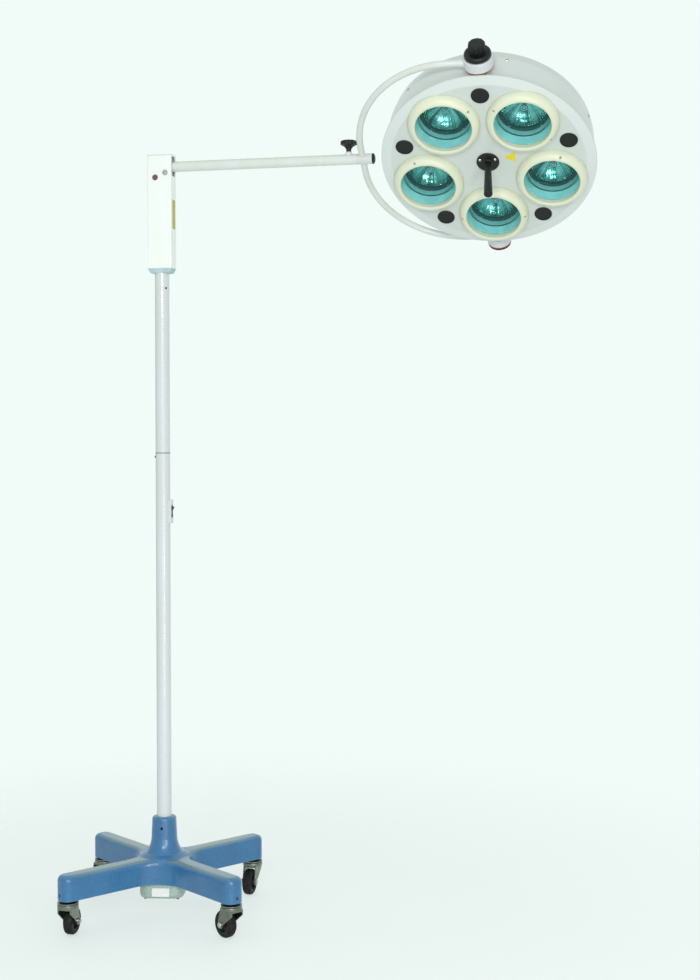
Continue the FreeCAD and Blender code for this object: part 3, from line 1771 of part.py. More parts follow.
def face_screws():
    """Ten bezel screws sunk in their wells, and the two screws of the handle's flange."""
    screws = []
    seat = float(D.bezel_screw_seat)
    length = D.bezel_screw_seat - D.bezel_screw_back
    for spot in bezel_screw_places():
        place = Placement(Vector(spot.x, spot.y, seat), Rotation())
        screws.append(screw(D.bezel_screw_radius, D.bezel_screw_head, 1, length, place))
    grip = D.handle_flange_height
    for spot in handle_screw_spots(D.face_plane + grip):
        place = Placement(spot, Rotation())
        screws.append(
            screw(D.screw_radius, D.screw_head_radius, D.flat_head_height, grip, place)
        )
    add_node("face_screws", gather(screws), HEAD_FRAME)


def rim_screws():
    """Screws that hold the rear shell's lap inside the panel's skirt."""
    screws = []
    taper = (D.wall_radius - D.seam_radius) / (D.wall_front - D.seam_plane)
    seat = D.seam_radius + taper * (D.rim_screw_plane - D.seam_plane) + D.face_gap
    length = D.shell_thickness * 3
    for angle in rim_screw_turns():
        place = Placement(polar(seat, angle, D.rim_screw_plane), spun(angle) * POINTING["+x"])
        screws.append(
            screw(D.screw_radius, D.screw_head_radius, D.flat_head_height, length, place)
        )
    add_node("rim_screws", gather(screws), HEAD_FRAME)


def vent_plugs():
    """Five black plugs in the face, between the lens units near the rim."""
    face = D.face_plane
    flange_top = face + D.vent_flange_height
    plugs = []
    points = [
        (0, face - D.vent_body_depth),
        (D.vent_body_radius, face - D.vent_body_depth),
        (D.vent_body_radius, face),
        (D.vent_flange_radius, face),
        (D.vent_flange_radius, face + 1),
        (D.vent_flange_radius - 2, flange_top),
        (0, flange_top),
    ]
    for spot in vent_spots():
        plug = turned("vent_plug", points)
        plug.Placement = Placement(spot, Rotation())
        plugs.append(plug)
    add_node("vent_plugs", gather(plugs), HEAD_FRAME)


def handle():
    """Aiming handle: a screwed flange and a slightly leaning bar that widens to its blunt end."""
    face = D.face_plane
    flange_top = D.handle_flange_height
    edge = D.handle_end_round
    fillet = D.handle_fillet
    flange_points = [
        (0, -D.handle_stud_length),
        (D.handle_stud_radius, -D.handle_stud_length),
        (D.handle_stud_radius, 0),
        (D.handle_flange_radius, 0),
        (D.handle_flange_radius, flange_top - 1),
        (D.handle_flange_radius - fillet, flange_top),
        (D.handle_root_radius + fillet, flange_top),
        (D.handle_root_radius, flange_top + fillet, fillet, "right"),
        (0, flange_top + fillet),
    ]
    bar_points = [
        (0, 1),
        (D.handle_root_radius - 0.5, 1),
        (D.handle_end_radius, D.handle_length - edge),
        (D.handle_end_radius - edge, D.handle_length, edge, "left"),
        (0, D.handle_length),
    ]
    foot = Vector(0, float(D.handle_offset), float(face))
    flange = turned("handle_flange", flange_points)
    flange.Placement = Placement(foot, Rotation())
    bar = turned("handle_bar", bar_points)
    bar.Placement = Placement(foot, Rotation(Vector(0, 1, 0), float(D.handle_lean)))
    drills = [rod(D.screw_radius, D.face_plane, spot) for spot in handle_screw_spots(face)]
    add_node("handle", cut(fuse(flange, bar), *drills), HEAD_FRAME)


# ---------------------------------------------------------------- assembly and output


def build():
    """Make every sub-part."""
    for make in (
        base_casting,
        transformer_housing,
        transformer,
        base_screws,
        mains_gland,
        caster_stems,
        lower_column,
        swivel_spindle,
        swivel_washer,
        switch_housing,
        switch_rocker,
        upper_column,
        spring_box,
        box_top_cap,
        box_bottom_cap,
        arm_pivot_bolt,
        access_plug,
        balance_spring,
        spring_adjuster,
        arm_crank,
        spring_pin,
        arm_tube,
        clamp_knob,
        yoke_sleeve,
        sleeve_end_cap,
        yoke_tube,
        upper_hub,
        lower_hub,
        lower_hub_cap,
        hub_washers,
        tilt_knob,
        head_pivots,
        front_panel,
        rear_shell,
        lens_bezels,
        glass_retainers,
        filter_glasses,
        reflectors,
        lampholders,
        bulbs,
        face_screws,
        rim_screws,
        vent_plugs,
        handle,
    ):
        make()
    for number in CASTER_HEADINGS:
        caster_fork(number)
        caster_axle(number)
        caster_wheel(number)
        caster_tyre(number)


def check():
    """Stop if any document object failed or any sub-part has no valid solid."""
    doc.recompute()
    for item in doc.Objects:
        if "Invalid" in item.State or "Error" in item.State:
            raise RuntimeError(f"{item.Name} ({item.Label}) did not compute: {item.State}")
    for label, item in NODES.items():
        if item.Shape.isNull() or not item.Shape.isValid() or not item.Shape.Solids:
            raise RuntimeError(f"{label} has no valid solid")


def write():
    """Write one STEP file per sub-part."""
    os.makedirs("parts", exist_ok=True)
    for label, item in NODES.items():
        item.Shape.exportStep(os.path.join("parts", f"{label}.step"))
        print(f"{label}: {len(item.Shape.Solids)} solids, {item.Shape.Volume / 1000:.1f} cm3")
    print(f"{len(NODES)} nodes")


build()
check()
write()
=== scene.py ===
"""Looks for the floor-standing five-reflector operating light.

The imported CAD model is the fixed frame. This script gives every CAD node a procedural finish, replaces
the reflectors, bulbs and vent plugs by detailed pieces, adds labels and small fittings, and lights the
scene. Lengths are in metres, with the origin on the floor under the column and +X along the arm.
"""

import json
import math

import bmesh
import bpy
from mathutils import Matrix, Vector


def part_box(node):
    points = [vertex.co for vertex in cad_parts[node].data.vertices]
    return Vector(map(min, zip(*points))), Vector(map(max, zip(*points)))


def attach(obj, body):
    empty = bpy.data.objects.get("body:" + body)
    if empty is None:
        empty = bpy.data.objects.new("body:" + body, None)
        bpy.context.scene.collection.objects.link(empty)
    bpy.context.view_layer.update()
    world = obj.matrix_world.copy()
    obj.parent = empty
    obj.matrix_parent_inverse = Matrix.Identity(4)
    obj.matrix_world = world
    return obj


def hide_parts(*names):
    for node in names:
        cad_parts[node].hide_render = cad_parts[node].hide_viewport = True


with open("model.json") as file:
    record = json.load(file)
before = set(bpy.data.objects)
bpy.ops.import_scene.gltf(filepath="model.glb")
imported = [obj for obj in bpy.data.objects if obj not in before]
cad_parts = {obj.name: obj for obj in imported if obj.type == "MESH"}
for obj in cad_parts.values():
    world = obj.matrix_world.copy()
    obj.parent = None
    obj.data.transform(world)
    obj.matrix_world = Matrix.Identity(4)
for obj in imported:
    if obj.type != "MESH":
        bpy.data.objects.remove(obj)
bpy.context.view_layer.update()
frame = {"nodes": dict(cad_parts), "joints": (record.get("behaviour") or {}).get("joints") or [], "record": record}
joints = {joint["name"]: joint for joint in frame["joints"]}

MM = 0.001

# The camera stands nearly level, right of the column, and looks left of straight ahead.
# Angles are in degrees, the lens and the sensor in millimetres.
CAMERA_PLACE = (1.201, -3.568, 1.1335)
CAMERA_HEADING = 11.65
CAMERA_ROLL = 0.24
CAMERA_LENS = 56.8
CAMERA_SENSOR = 36
CAMERA_SHIFT = (-0.0014, -0.0477)

# The head's face, as in the CAD. Five lens units and, midway between them, five vent plugs stand on
# circles about the head's axis. The first lens unit is the lowest.
LENS_COUNT = 5
LENS_STEP = 360 / LENS_COUNT
FIRST_LENS_TURN = -90
LENS_CIRCLE = 151 * MM
VENT_CIRCLE = 196.6 * MM
FACE_PLANE = 36 * MM
BEVEL_INNER = 225 * MM
RIM_RADIUS = 247.5 * MM

# A film or a small fitting stands this far off the surface under it.
FILM_GAP = 0.02 * MM


# ---------------------------------------------------------------- frames


def upright(place, x_axis, y_axis):
    """A frame at place with the given x and y directions."""
    turn = Matrix((x_axis, y_axis, x_axis.cross(y_axis))).transposed()
    return Matrix.Translation(place) @ turn.to_4x4()


def head_frame():
    """The lamp head's frame: x along the arm, y along the yoke's hubs, z out of the face."""
    hub_axis = Vector(joints["head_tilt"]["axis"])
    arm_axis = Vector(joints["yoke_roll"]["axis"])
    return upright(Vector(joints["head_tilt"]["pos_m"]), arm_axis, hub_axis)


HEAD = head_frame()


def on_circle(radius, degrees, height=0.0):
    """A shift to a point on a circle about z."""
    angle = math.radians(degrees)
    return Matrix.Translation((radius * math.cos(angle), radius * math.sin(angle), height))


def spun(degrees, axis="Z"):
    """A turn about one of the main axes."""
    return Matrix.Rotation(math.radians(degrees), 4, axis)


def face_frames(first_turn, radius, height=0.0):
    """Five frames spaced evenly on a circle about the head's axis, with z out of the face."""
    turns = [spun(first_turn + LENS_STEP * number) for number in range(LENS_COUNT)]
    return [HEAD @ turn @ on_circle(radius, 0, height) for turn in turns]


def lens_frames():
    """Frames of the five lens units."""
    return face_frames(FIRST_LENS_TURN, LENS_CIRCLE)


def vent_frames():
    """Frames of the five vent plugs, each on the face between two lens units."""
    return face_frames(FIRST_LENS_TURN + LENS_STEP / 2, VENT_CIRCLE, FACE_PLANE)


# ---------------------------------------------------------------- finishes


def srgb(red, green, blue):
    """A colour given as 0-255 sRGB, as linear light."""
    linear = []
    for level in (red / 255, green / 255, blue / 255):
        if level <= 0.04045:
            linear.append(level / 12.92)
        else:
            linear.append(((level + 0.055) / 1.055) ** 2.4)
    return tuple(linear)


class Finish:
    """A Principled material under construction, with short calls for its procedural layers."""

    def __init__(self, name, colour, roughness, **sockets):
        self.material = bpy.data.materials.new(name)
        self.material.use_nodes = True
        self.tree = self.material.node_tree
        self.shader = self.tree.nodes["Principled BSDF"]
        self.shader.inputs["Base Color"].default_value = (*colour, 1)
        self.shader.inputs["Roughness"].default_value = roughness
        for socket, value in sockets.items():
            self.shader.inputs[socket.replace("_", " ")].default_value = value
        self.texture_place = self.tree.nodes.new("ShaderNodeTexCoord")

    def feed(self, socket, value):
        """Gives an input a plain value, or links it to another node's output."""
        if isinstance(value, bpy.types.NodeSocket):
            self.tree.links.new(value, socket)
        else:
            socket.default_value = value

    def node(self, kind, inputs, **settings):
        """A new node with the given inputs, each a plain value or another node's output."""
        made = self.tree.nodes.new(kind)
        for setting, value in settings.items():
            setattr(made, setting, value)
        for socket, value in inputs.items():
            self.feed(made.inputs[socket], value)
        return made

    def between(self, value, low, high):
        """A mask that rises smoothly from 0 to 1 as value goes from low to high."""
        inputs = {"Value": value, "From Min": low, "From Max": high}
        return self.node("ShaderNodeMapRange", inputs, interpolation_type="SMOOTHSTEP").outputs["Result"]

    def noise(self, size, low=0.4, high=0.6, detail=3.0):
        """A mask of soft patches about size metres across."""
        inputs = {"Vector": self.texture_place.outputs["Object"], "Scale": 1 / size, "Detail": detail}
        return self.between(self.node("ShaderNodeTexNoise", inputs).outputs["Fac"], low, high)

    def cells(self, size, low=0.1, high=0.7):
        """A mask of rounded cells about size metres across, dark in their middles."""
        inputs = {"Vector": self.texture_place.outputs["Object"], "Scale": 1 / size}
        return self.between(self.node("ShaderNodeTexVoronoi", inputs).outputs["Distance"], low, high)

    def streaks(self, size, stretch, low=0.35, high=0.65):
        """A mask of patches about size metres across, made stretch times as long along z."""
        inputs = {"Vector": self.texture_place.outputs["Object"], "Scale": (1, 1, 1 / stretch)}
        placed = self.node("ShaderNodeMapping", inputs).outputs["Vector"]
        inputs = {"Vector": placed, "Scale": 1 / size, "Detail": 4.0}
        return self.between(self.node("ShaderNodeTexNoise", inputs).outputs["Fac"], low, high)

    def edges(self, radius, low=0.02, high=0.25):
        """A mask of the outward and inward edges that a bevel of that radius would round."""
        rounded = self.node("ShaderNodeBevel", {"Radius": radius}, samples=4).outputs["Normal"]
        plain = self.node("ShaderNodeNewGeometry", {}).outputs["Normal"]
        apart = self.node("ShaderNodeVectorMath", {0: rounded, 1: plain}, operation="DISTANCE")
        return self.between(apart.outputs["Value"], low, high)

    def crevices(self, distance, low=0.25, high=0.75):
        """A mask of the corners and gaps that little light reaches."""
        inputs = {"Distance": distance}
        shade = self.node("ShaderNodeAmbientOcclusion", inputs, samples=4).outputs["AO"]
        return self.between(shade, high, low)

    def upward(self, low, high):
        """A mask of the faces that look up, where dust settles, by the z part of their direction."""
        normal = self.texture_place.outputs["Normal"]
        height = self.node("ShaderNodeSeparateXYZ", {"Vector": normal}).outputs["Z"]
        return self.between(height, low, high)

    def from_axis(self, place):
        """The distance in metres from a frame's z axis."""
        inputs = {0: self.texture_place.outputs["Object"], 1: place.translation}
        reach = self.node("ShaderNodeVectorMath", inputs, operation="SUBTRACT").outputs["Vector"]
        inputs = {0: reach, 1: place.col[2].to_3d()}
        across = self.node("ShaderNodeVectorMath", inputs, operation="CROSS_PRODUCT")
        inputs = {0: across.outputs["Vector"]}
        return self.node("ShaderNodeVectorMath", inputs, operation="LENGTH").outputs["Value"]

    def times(self, first, second):
        """The product of two masks, or of a mask and a number."""
        return self.node("ShaderNodeMath", {0: first, 1: second}, operation="MULTIPLY").outputs["Value"]

    def tint(self, mask, colour, amount):
        """Lays colour over what is there, where the mask says."""
        base = self.shader.inputs["Base Color"]
        below = base.links[0].from_socket if base.is_linked else tuple(base.default_value)
        factor = self.times(mask, amount)
        inputs = {"Factor": factor, "A": below, "B": (*colour, 1)}
        mix = self.node("ShaderNodeMix", {}, data_type="RGBA")
        for socket in mix.inputs:
            if socket.enabled:
                self.feed(socket, inputs[socket.name])
        colour_out = [socket for socket in mix.outputs if socket.enabled][0]
        self.tree.links.new(colour_out, base)

    def gloss(self, mask, roughness):
        """Takes the roughness to a new value where the mask says."""
        rough = self.shader.inputs["Roughness"]
        below = rough.links[0].from_socket if rough.is_linked else rough.default_value
        inputs = {"Value": mask, "To Min": below, "To Max": roughness}
        mix = self.node("ShaderNodeMapRange", inputs)
        self.tree.links.new(mix.outputs["Result"], rough)

    def bump(self, height, depth, strength=1.0):
        """Raises the surface by depth metres where height is 1, on top of earlier bumps."""
        inputs = {"Height": height, "Distance": depth, "Strength": strength}
        normal = self.shader.inputs["Normal"]
        if normal.is_linked:
            inputs["Normal"] = normal.links[0].from_socket
        made = self.node("ShaderNodeBump", inputs)
        self.tree.links.new(made.outputs["Normal"], normal)

    def mix_in(self, shader, share):
        """Mixes another shader into the surface, by the given share."""
        mixed = self.node("ShaderNodeMixShader", {0: share, 1: self.shader.outputs["BSDF"], 2: shader})
        output = self.tree.nodes["Material Output"]
        self.tree.links.new(mixed.outputs["Shader"], output.inputs["Surface"])


DUST = srgb(150, 146, 132)
# Dark grey for real grime, specks and scuffs, and also for painted shade in corners and gaps.
GRIME_AND_SHADE = srgb(70, 66, 58)

# Dust on the base's arms, by distance from the column's axis. Each pair says where there is none and
# where it is full.
DUST_START = (52 * MM, 84 * MM)
DUST_END = (330 * MM, 190 * MM)


def painted(name, colour, roughness, corner_shade=0.35):
    """Stove-enamelled steel: faint orange peel, slight yellowing, small specks, painted shade in corners."""
    finish = Finish(name, colour, roughness, Coat_Weight=0.25, Coat_Roughness=0.12)
    aged = tuple(level * share for level, share in zip(colour, (0.93, 0.92, 0.84)))
    finish.tint(finish.streaks(50 * MM, 6.0), aged, 0.5)
    finish.tint(finish.noise(8 * MM, 0.62, 0.75), GRIME_AND_SHADE, 0.05)
    # Painted shade: darker in the corners and gaps that little light reaches.
    finish.tint(finish.crevices(12 * MM), GRIME_AND_SHADE, corner_shade)
    finish.gloss(finish.noise(20 * MM, 0.35, 0.7), roughness + 0.14)
    finish.bump(finish.noise(2.2 * MM, 0.2, 0.8, 1.0), 0.03 * MM, 0.6)
    return finish


def white_paint():
    """Enamel of the column, the switch and the yoke's hubs."""
    return painted("white_enamel", srgb(214, 218, 222), 0.26).material


def cream_paint():
    """Slightly greener enamel of the arm and the yoke's tube."""
    return painted("cream_enamel", srgb(218, 223, 219), 0.24).material


def head_shell():
    """Pale grey-green enamel with a whiter ring where the face slopes to its rim."""
    finish = painted("head_enamel", srgb(208, 216, 213), 0.3, 0.25)
    away = finish.from_axis(HEAD)
    outside = finish.between(away, BEVEL_INNER - 1 * MM, BEVEL_INNER)
    inside = finish.between(away, RIM_RADIUS - 1 * MM, RIM_RADIUS - 1.6 * MM)
    finish.tint(finish.times(outside, inside), srgb(222, 228, 226), 0.7)
    finish.tint(finish.upward(0.4, 0.95), DUST, 0.12)
    return finish.material


def blue_casting():
    """Blue enamel on a sand casting: shallow dimples, dust on the arms' tops, paler worn edges."""
    colour = srgb(42, 110, 160)
    finish = Finish("blue_casting_enamel", colour, 0.38, Coat_Weight=0.8, Coat_Roughness=0.22)
    finish.tint(finish.noise(60 * MM), srgb(36, 100, 152), 0.6)
    finish.tint(finish.noise(3.5 * MM, 0.45, 0.6), srgb(72, 128, 168), 0.35)
    away = finish.from_axis(Matrix())
    on_arms = finish.times(finish.between(away, *DUST_START), finish.between(away, *DUST_END))
    finish.tint(finish.times(finish.upward(0.4, 0.95), on_arms), srgb(122, 148, 146), 0.8)
    finish.tint(finish.edges(3 * MM), srgb(110, 156, 186), 0.25)
    # Painted shade: darker blue in the corners and gaps that little light reaches.
    finish.tint(finish.crevices(30 * MM), srgb(22, 50, 74), 0.5)
    finish.gloss(finish.upward(0.55, 0.97), 0.5)
    finish.bump(finish.noise(12 * MM, 0.2, 0.8, 2.0), 0.12 * MM, 0.5)
    finish.bump(finish.noise(2.5 * MM, 0.2, 0.8, 1.0), 0.05 * MM, 0.5)
    return finish.material


def hammered_grey():
    """Hammer-finish enamel: pooled cells with brighter rims."""
    finish = Finish("hammered_enamel", srgb(152, 174, 164), 0.32, Metallic=0.3)
    cells = finish.cells(4.2 * MM)
    finish.tint(cells, srgb(188, 206, 196), 0.7)
    # Painted shade: darker in the corners and gaps that little light reaches.
    finish.tint(finish.crevices(10 * MM), GRIME_AND_SHADE, 0.4)
    finish.gloss(cells, 0.45)
    finish.bump(cells, 0.4 * MM, 0.8)
    return finish.material


def plastic(name, colour, roughness, grain, depth):
    """Moulded plastic with a fine spark-eroded grain and paler rubbed edges."""
    finish = Finish(name, colour, roughness)
    finish.tint(finish.noise(30 * MM), tuple(level * 1.3 + 0.002 for level in colour), 0.5)
    finish.tint(finish.edges(0.8 * MM), tuple(level * 1.5 + 0.02 for level in colour), 0.4)
    finish.gloss(finish.noise(10 * MM, 0.3, 0.7), roughness + 0.15)
    finish.bump(finish.noise(grain, 0.3, 0.7, 1.0), depth)
    return finish


def black_plastic():
    """Black moulding of the knobs, caps, plugs and handle, with a little dust in its corners."""
    finish = plastic("black_plastic", srgb(10, 15, 12), 0.36, 0.9 * MM, 0.08 * MM)
    finish.shader.inputs["Specular IOR Level"].default_value = 0.45
    finish.tint(finish.crevices(4 * MM), DUST, 0.06)
    return finish.material


def wheel_plastic():
    """Dark nylon of the wheel centres."""
    return plastic("wheel_nylon", srgb(30, 32, 32), 0.45, 1 * MM, 0.08 * MM).material


def blue_grey_cap():
    """Blue-grey moulding under the spring box."""
    return plastic("blue_grey_moulding", srgb(172, 194, 198), 0.4, 1 * MM, 0.05 * MM).material


def ivory_bezel():
    """Glossy urea moulding: ivory, slightly darker with age in patches, with painted shade in the corners."""
    finish = Finish("ivory_moulding", srgb(224, 228, 203), 0.3)
    finish.tint(finish.noise(50 * MM, 0.3, 0.8), srgb(220, 222, 194), 0.5)
    # Painted shade: darker where the bezel meets the face and in other corners that little light reaches.
    finish.tint(finish.crevices(6 * MM), srgb(150, 146, 112), 0.35)
    finish.gloss(finish.noise(12 * MM, 0.3, 0.7), 0.42)
    finish.bump(finish.noise(1.6 * MM, 0.3, 0.7, 1.0), 0.03 * MM)
    return finish.material


def dark_washer():
    """Dark nylon of the ring in the column's seam."""
    return plastic("nylon_washer", srgb(52, 52, 54), 0.45, 0.8 * MM, 0.05 * MM).material


def tyre_rubber():
    """Black rubber, scuffed grey in patches."""
    finish = Finish("tyre_rubber", srgb(14, 16, 16), 0.5, Specular_IOR_Level=0.35)
    finish.tint(finish.noise(6 * MM, 0.5, 0.8, 5.0), srgb(60, 60, 55), 0.3)
    finish.tint(finish.noise(30 * MM), srgb(24, 25, 25), 0.5)
    finish.gloss(finish.noise(8 * MM), 0.8)
    finish.bump(finish.noise(1.2 * MM, 0.3, 0.7, 4.0), 0.15 * MM)
    return finish.material


def metal(name, colour, roughness, dull):
    """Bare or plated metal with fine brush lines, dull patches and painted shade in the corners."""
    finish = Finish(name, colour, roughness, Metallic=1.0)
    finish.tint(finish.noise(12 * MM, 0.35, 0.7, 5.0), dull, 0.5)
    # Painted shade: darker in the corners and gaps that little light reaches.
    finish.tint(finish.crevices(4 * MM), GRIME_AND_SHADE, 0.5)
    finish.gloss(finish.noise(6 * MM, 0.3, 0.7), roughness + 0.18)
    finish.bump(finish.streaks(0.8 * MM, 8.0), 0.03 * MM)
    return finish


def zinc_steel():
    """Zinc-plated pressed steel: faintly yellow, with paler spangles and bright edges."""
    finish = metal("zinc_plate", srgb(132, 138, 126), 0.26, srgb(92, 98, 82))
    finish.tint(finish.cells(6 * MM), srgb(156, 162, 150), 0.35)
    finish.tint(finish.edges(1 * MM), srgb(214, 218, 210), 0.4)
    return finish.material


def bearing_steel():
    """Ground steel of the hidden working parts and the head's pivots."""
    return metal("ground_steel", srgb(176, 178, 180), 0.22, srgb(140, 142, 146)).material


def bright_screws():
    """Nickel plate of the screws and bolts."""
    return metal("nickel_plate", srgb(206, 206, 202), 0.2, srgb(164, 162, 154)).material


def transformer_winding():
    """Varnished paper tape wound round a ring transformer."""
    finish = Finish("varnished_winding", srgb(150, 98, 52), 0.4, Coat_Weight=0.6)
    turns = finish.streaks(2 * MM, 0.15)
    finish.tint(turns, srgb(104, 62, 30), 0.7)
    finish.bump(turns, 0.4 * MM)
    return finish.material


def filter_glass():
    """Pale teal heat-filter glass: mostly see-through, with a gloss and a thin film of dust."""
    finish = Finish("teal_filter_glass", srgb(118, 190, 188), 0.03)
    finish.gloss(finish.noise(10 * MM, 0.55, 0.8), 0.1)
    finish.bump(finish.noise(30 * MM, 0.2, 0.8, 1.0), 0.04 * MM, 0.3)
    see_through = finish.node("ShaderNodeBsdfTransparent", {"Color": (0.80, 0.985, 0.995, 1)})
    dust = finish.noise(20 * MM, 0.3, 0.8)
    grazing = finish.node("ShaderNodeLayerWeight", {"Blend": 0.25}).outputs["Facing"]
    film = finish.node("ShaderNodeMapRange", {"Value": dust, "To Min": 0.015, "To Max": 0.035})
    sheen = finish.node("ShaderNodeMapRange", {"Value": grazing, "To Min": 0.0, "To Max": 0.3})
    inputs = {0: film.outputs["Result"], 1: sheen.outputs["Result"]}
    solid = finish.node("ShaderNodeMath", inputs, operation="ADD")
    clearness = finish.node("ShaderNodeMath", {0: 1.0, 1: solid.outputs["Value"]}, operation="SUBTRACT")
    finish.mix_in(see_through.outputs["BSDF"], clearness.outputs["Value"])
    return finish.material


def pale_sleeve():
    """Nearly white moulding of the sleeves behind the glasses."""
    return plastic("pale_sleeve", srgb(236, 250, 248), 0.45, 1 * MM, 0.03 * MM).material


# The reflector mesh's own attribute: painted dark reflections, how dark each line down the bowl is.
PAINTED_REFLECTION = "streak"


def reflector_mirror():
    """Dichroic mirror coating: greener in patches, streaks of painted dark reflection, darker edges."""
    finish = Finish("dichroic_mirror", srgb(188, 224, 216), 0.12, Metallic=1.0)
    finish.tint(finish.noise(20 * MM, 0.35, 0.7), srgb(140, 200, 190), 0.6)
    streak = finish.node("ShaderNodeAttribute", {}, attribute_name=PAINTED_REFLECTION).outputs["Fac"]
    # Painted reflection: dark streaks down each bowl, the dark surroundings a mirror would show.
    finish.tint(streak, srgb(26, 62, 58), 0.85)
    finish.tint(finish.edges(1.5 * MM), srgb(40, 70, 72), 0.8)
    finish.gloss(finish.noise(4 * MM, 0.3, 0.7), 0.2)
    finish.bump(finish.noise(4 * MM, 0.2, 0.8, 2.0), 0.1 * MM)
    return finish.material


def bulb_glass():
    """Quartz bulb with a milky, slightly greyed envelope."""
    finish = Finish("quartz_bulb", srgb(214, 224, 222), 0.12, Coat_Weight=1.0)
    finish.tint(finish.noise(4 * MM, 0.4, 0.7), srgb(120, 132, 134), 0.6)
    finish.bump(finish.noise(2 * MM, 0.2, 0.8, 1.0), 0.05 * MM)
    return finish.material


def holder_ceramic():
    """Unglazed steatite lampholder."""
    finish = Finish("steatite", srgb(222, 216, 200), 0.7)
    finish.tint(finish.noise(6 * MM), srgb(196, 188, 170), 0.6)
    # Painted shade: darker in the corners and gaps that little light reaches.
    finish.tint(finish.crevices(4 * MM), GRIME_AND_SHADE, 0.4)
    finish.bump(finish.noise(1.2 * MM, 0.3, 0.7, 3.0), 0.1 * MM)
    return finish.material


def fibre_red():
    """Red vulcanised fibre, darker in patches, with a fine grain."""
    finish = Finish("red_fibre", srgb(196, 92, 60), 0.55)
    finish.tint(finish.noise(3 * MM, 0.3, 0.7, 5.0), srgb(140, 58, 40), 0.6)
    finish.bump(finish.noise(0.8 * MM, 0.3, 0.7, 2.0), 0.08 * MM)
    return finish.material


# Each of these functions bears the name of its material slot in the record.
SLOT_FINISHES = (
    blue_casting,
    hammered_grey,
    transformer_winding,
    bright_screws,
    black_plastic,
    zinc_steel,
    wheel_plastic,
    tyre_rubber,
    white_paint,
    cream_paint,
    bearing_steel,
    dark_washer,
    blue_grey_cap,
    head_shell,
    ivory_bezel,
    filter_glass,
    pale_sleeve,
    reflector_mirror,
    bulb_glass,
    holder_ceramic,
    fibre_red,
)
finishes = {make.__name__: make() for make in SLOT_FINISHES}


def label_finish(name, colour, faded):
    """A blank plastic label: an even field, slightly faded in patches and scuffed."""
    finish = Finish(name, colour, 0.35)
    finish.tint(finish.noise(6 * MM, 0.4, 0.7, 4.0), faded, 0.25)
    finish.tint(finish.noise(1.5 * MM, 0.62, 0.7, 2.0), GRIME_AND_SHADE, 0.2)
    finish.gloss(finish.noise(4 * MM), 0.5)
    finish.bump(finish.noise(2 * MM, 0.3, 0.7), 0.02 * MM)
    return finish.material


def finish_cad_nodes():
    """Gives each CAD node the finish of its slot in the record, or its own where it has one."""
    own = {
        "spring_box": painted("box_enamel", srgb(243, 248, 247), 0.24).material,
        "access_plug": plastic("grey_plug", srgb(88, 80, 76), 0.4, 1 * MM, 0.05 * MM).material,
        "base_screws": metal("black_oxide", srgb(44, 48, 46), 0.35, srgb(24, 26, 25)).material,
    }
    for part in frame["record"]["subparts"]:
        materials = frame["nodes"][part["node"]].data.materials
        materials.clear()
        materials.append(own.get(part["node"], finishes[part["material_slot"]]))


# ---------------------------------------------------------------- mesh helpers


def add_piece(name, mesh, body, slot=None, material=None, smooth_angle=35):
    """Makes an object of a finished mesh that rides on a CAD body.

    It has the finish of its slot unless another material is given.
    """
    data = bpy.data.meshes.new(name)
    bmesh.ops.recalc_face_normals(mesh, faces=mesh.faces)
    mesh.to_mesh(data)
    mesh.free()
    data.materials.append(material or finishes[slot])
    data.shade_smooth()
    data.set_sharp_from_angle(angle=math.radians(smooth_angle))
    piece = bpy.data.objects.new(name, data)
    bpy.context.scene.collection.objects.link(piece)
    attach(piece, body)
    return piece


def lathe(mesh, place, outline, steps, ripple=None):
    """Turns a closed outline of (radius, height) about place's z axis.

    A point with radius 0 is a single vertex. ripple(angle, number) gives a factor on the radius of
    outline point number.
    """
    rings = []
    for number, (radius, height) in enumerate(outline):
        if radius == 0:
            rings.append([mesh.verts.new(place @ Vector((0, 0, height)))] * steps)
            continue
        ring = []
        for step in range(steps):
            angle = 2 * math.pi * step / steps
            reach = radius * (ripple(angle, number) if ripple else 1)
            point = Vector((reach * math.cos(angle), reach * math.sin(angle), height))
            ring.append(mesh.verts.new(place @ point))
        rings.append(ring)
    for first, second in zip(rings, rings[1:] + rings[:1]):
        for step in range(steps):
            after = (step + 1) % steps
            corners = [first[step], first[after], second[after], second[step]]
            corners = list(dict.fromkeys(corners))
            if len(corners) > 2:
                mesh.faces.new(corners)


def arc(centre, radius, start, end, steps):
    """Points (radius, height) along an arc, angles in degrees from the radius direction."""
    points = []
    for step in range(steps + 1):
        angle = math.radians(start + (end - start) * step / steps)
        points.append((centre[0] + radius * math.cos(angle), centre[1] + radius * math.sin(angle)))
    return points


def plate(mesh, place, corners, thickness, softness):
    """A flat plate with the given outline in place's xy plane, softened at its top edge."""
    count = len(corners)
    middle = Vector((sum(x for x, y in corners) / count, sum(y for x, y in corners) / count))
    layers = []
    for height, inset in ((0, 0), (thickness - softness, 0), (thickness, softness)):
        layer = []
        for x, y in corners:
            inward = (middle - Vector((x, y))).normalized() * inset
            layer.append(mesh.verts.new(place @ Vector((x + inward.x, y + inward.y, height))))
        layers.append(layer)
    for lower, upper in zip(layers, layers[1:]):
        for number in range(count):
            after = (number + 1) % count
            mesh.faces.new((lower[number], lower[after], upper[after], upper[number]))
    mesh.faces.new(list(reversed(layers[0])))
    mesh.faces.new(layers[-1])


# Steps round each rounded corner of a flat outline.
CORNER_STEPS = 6


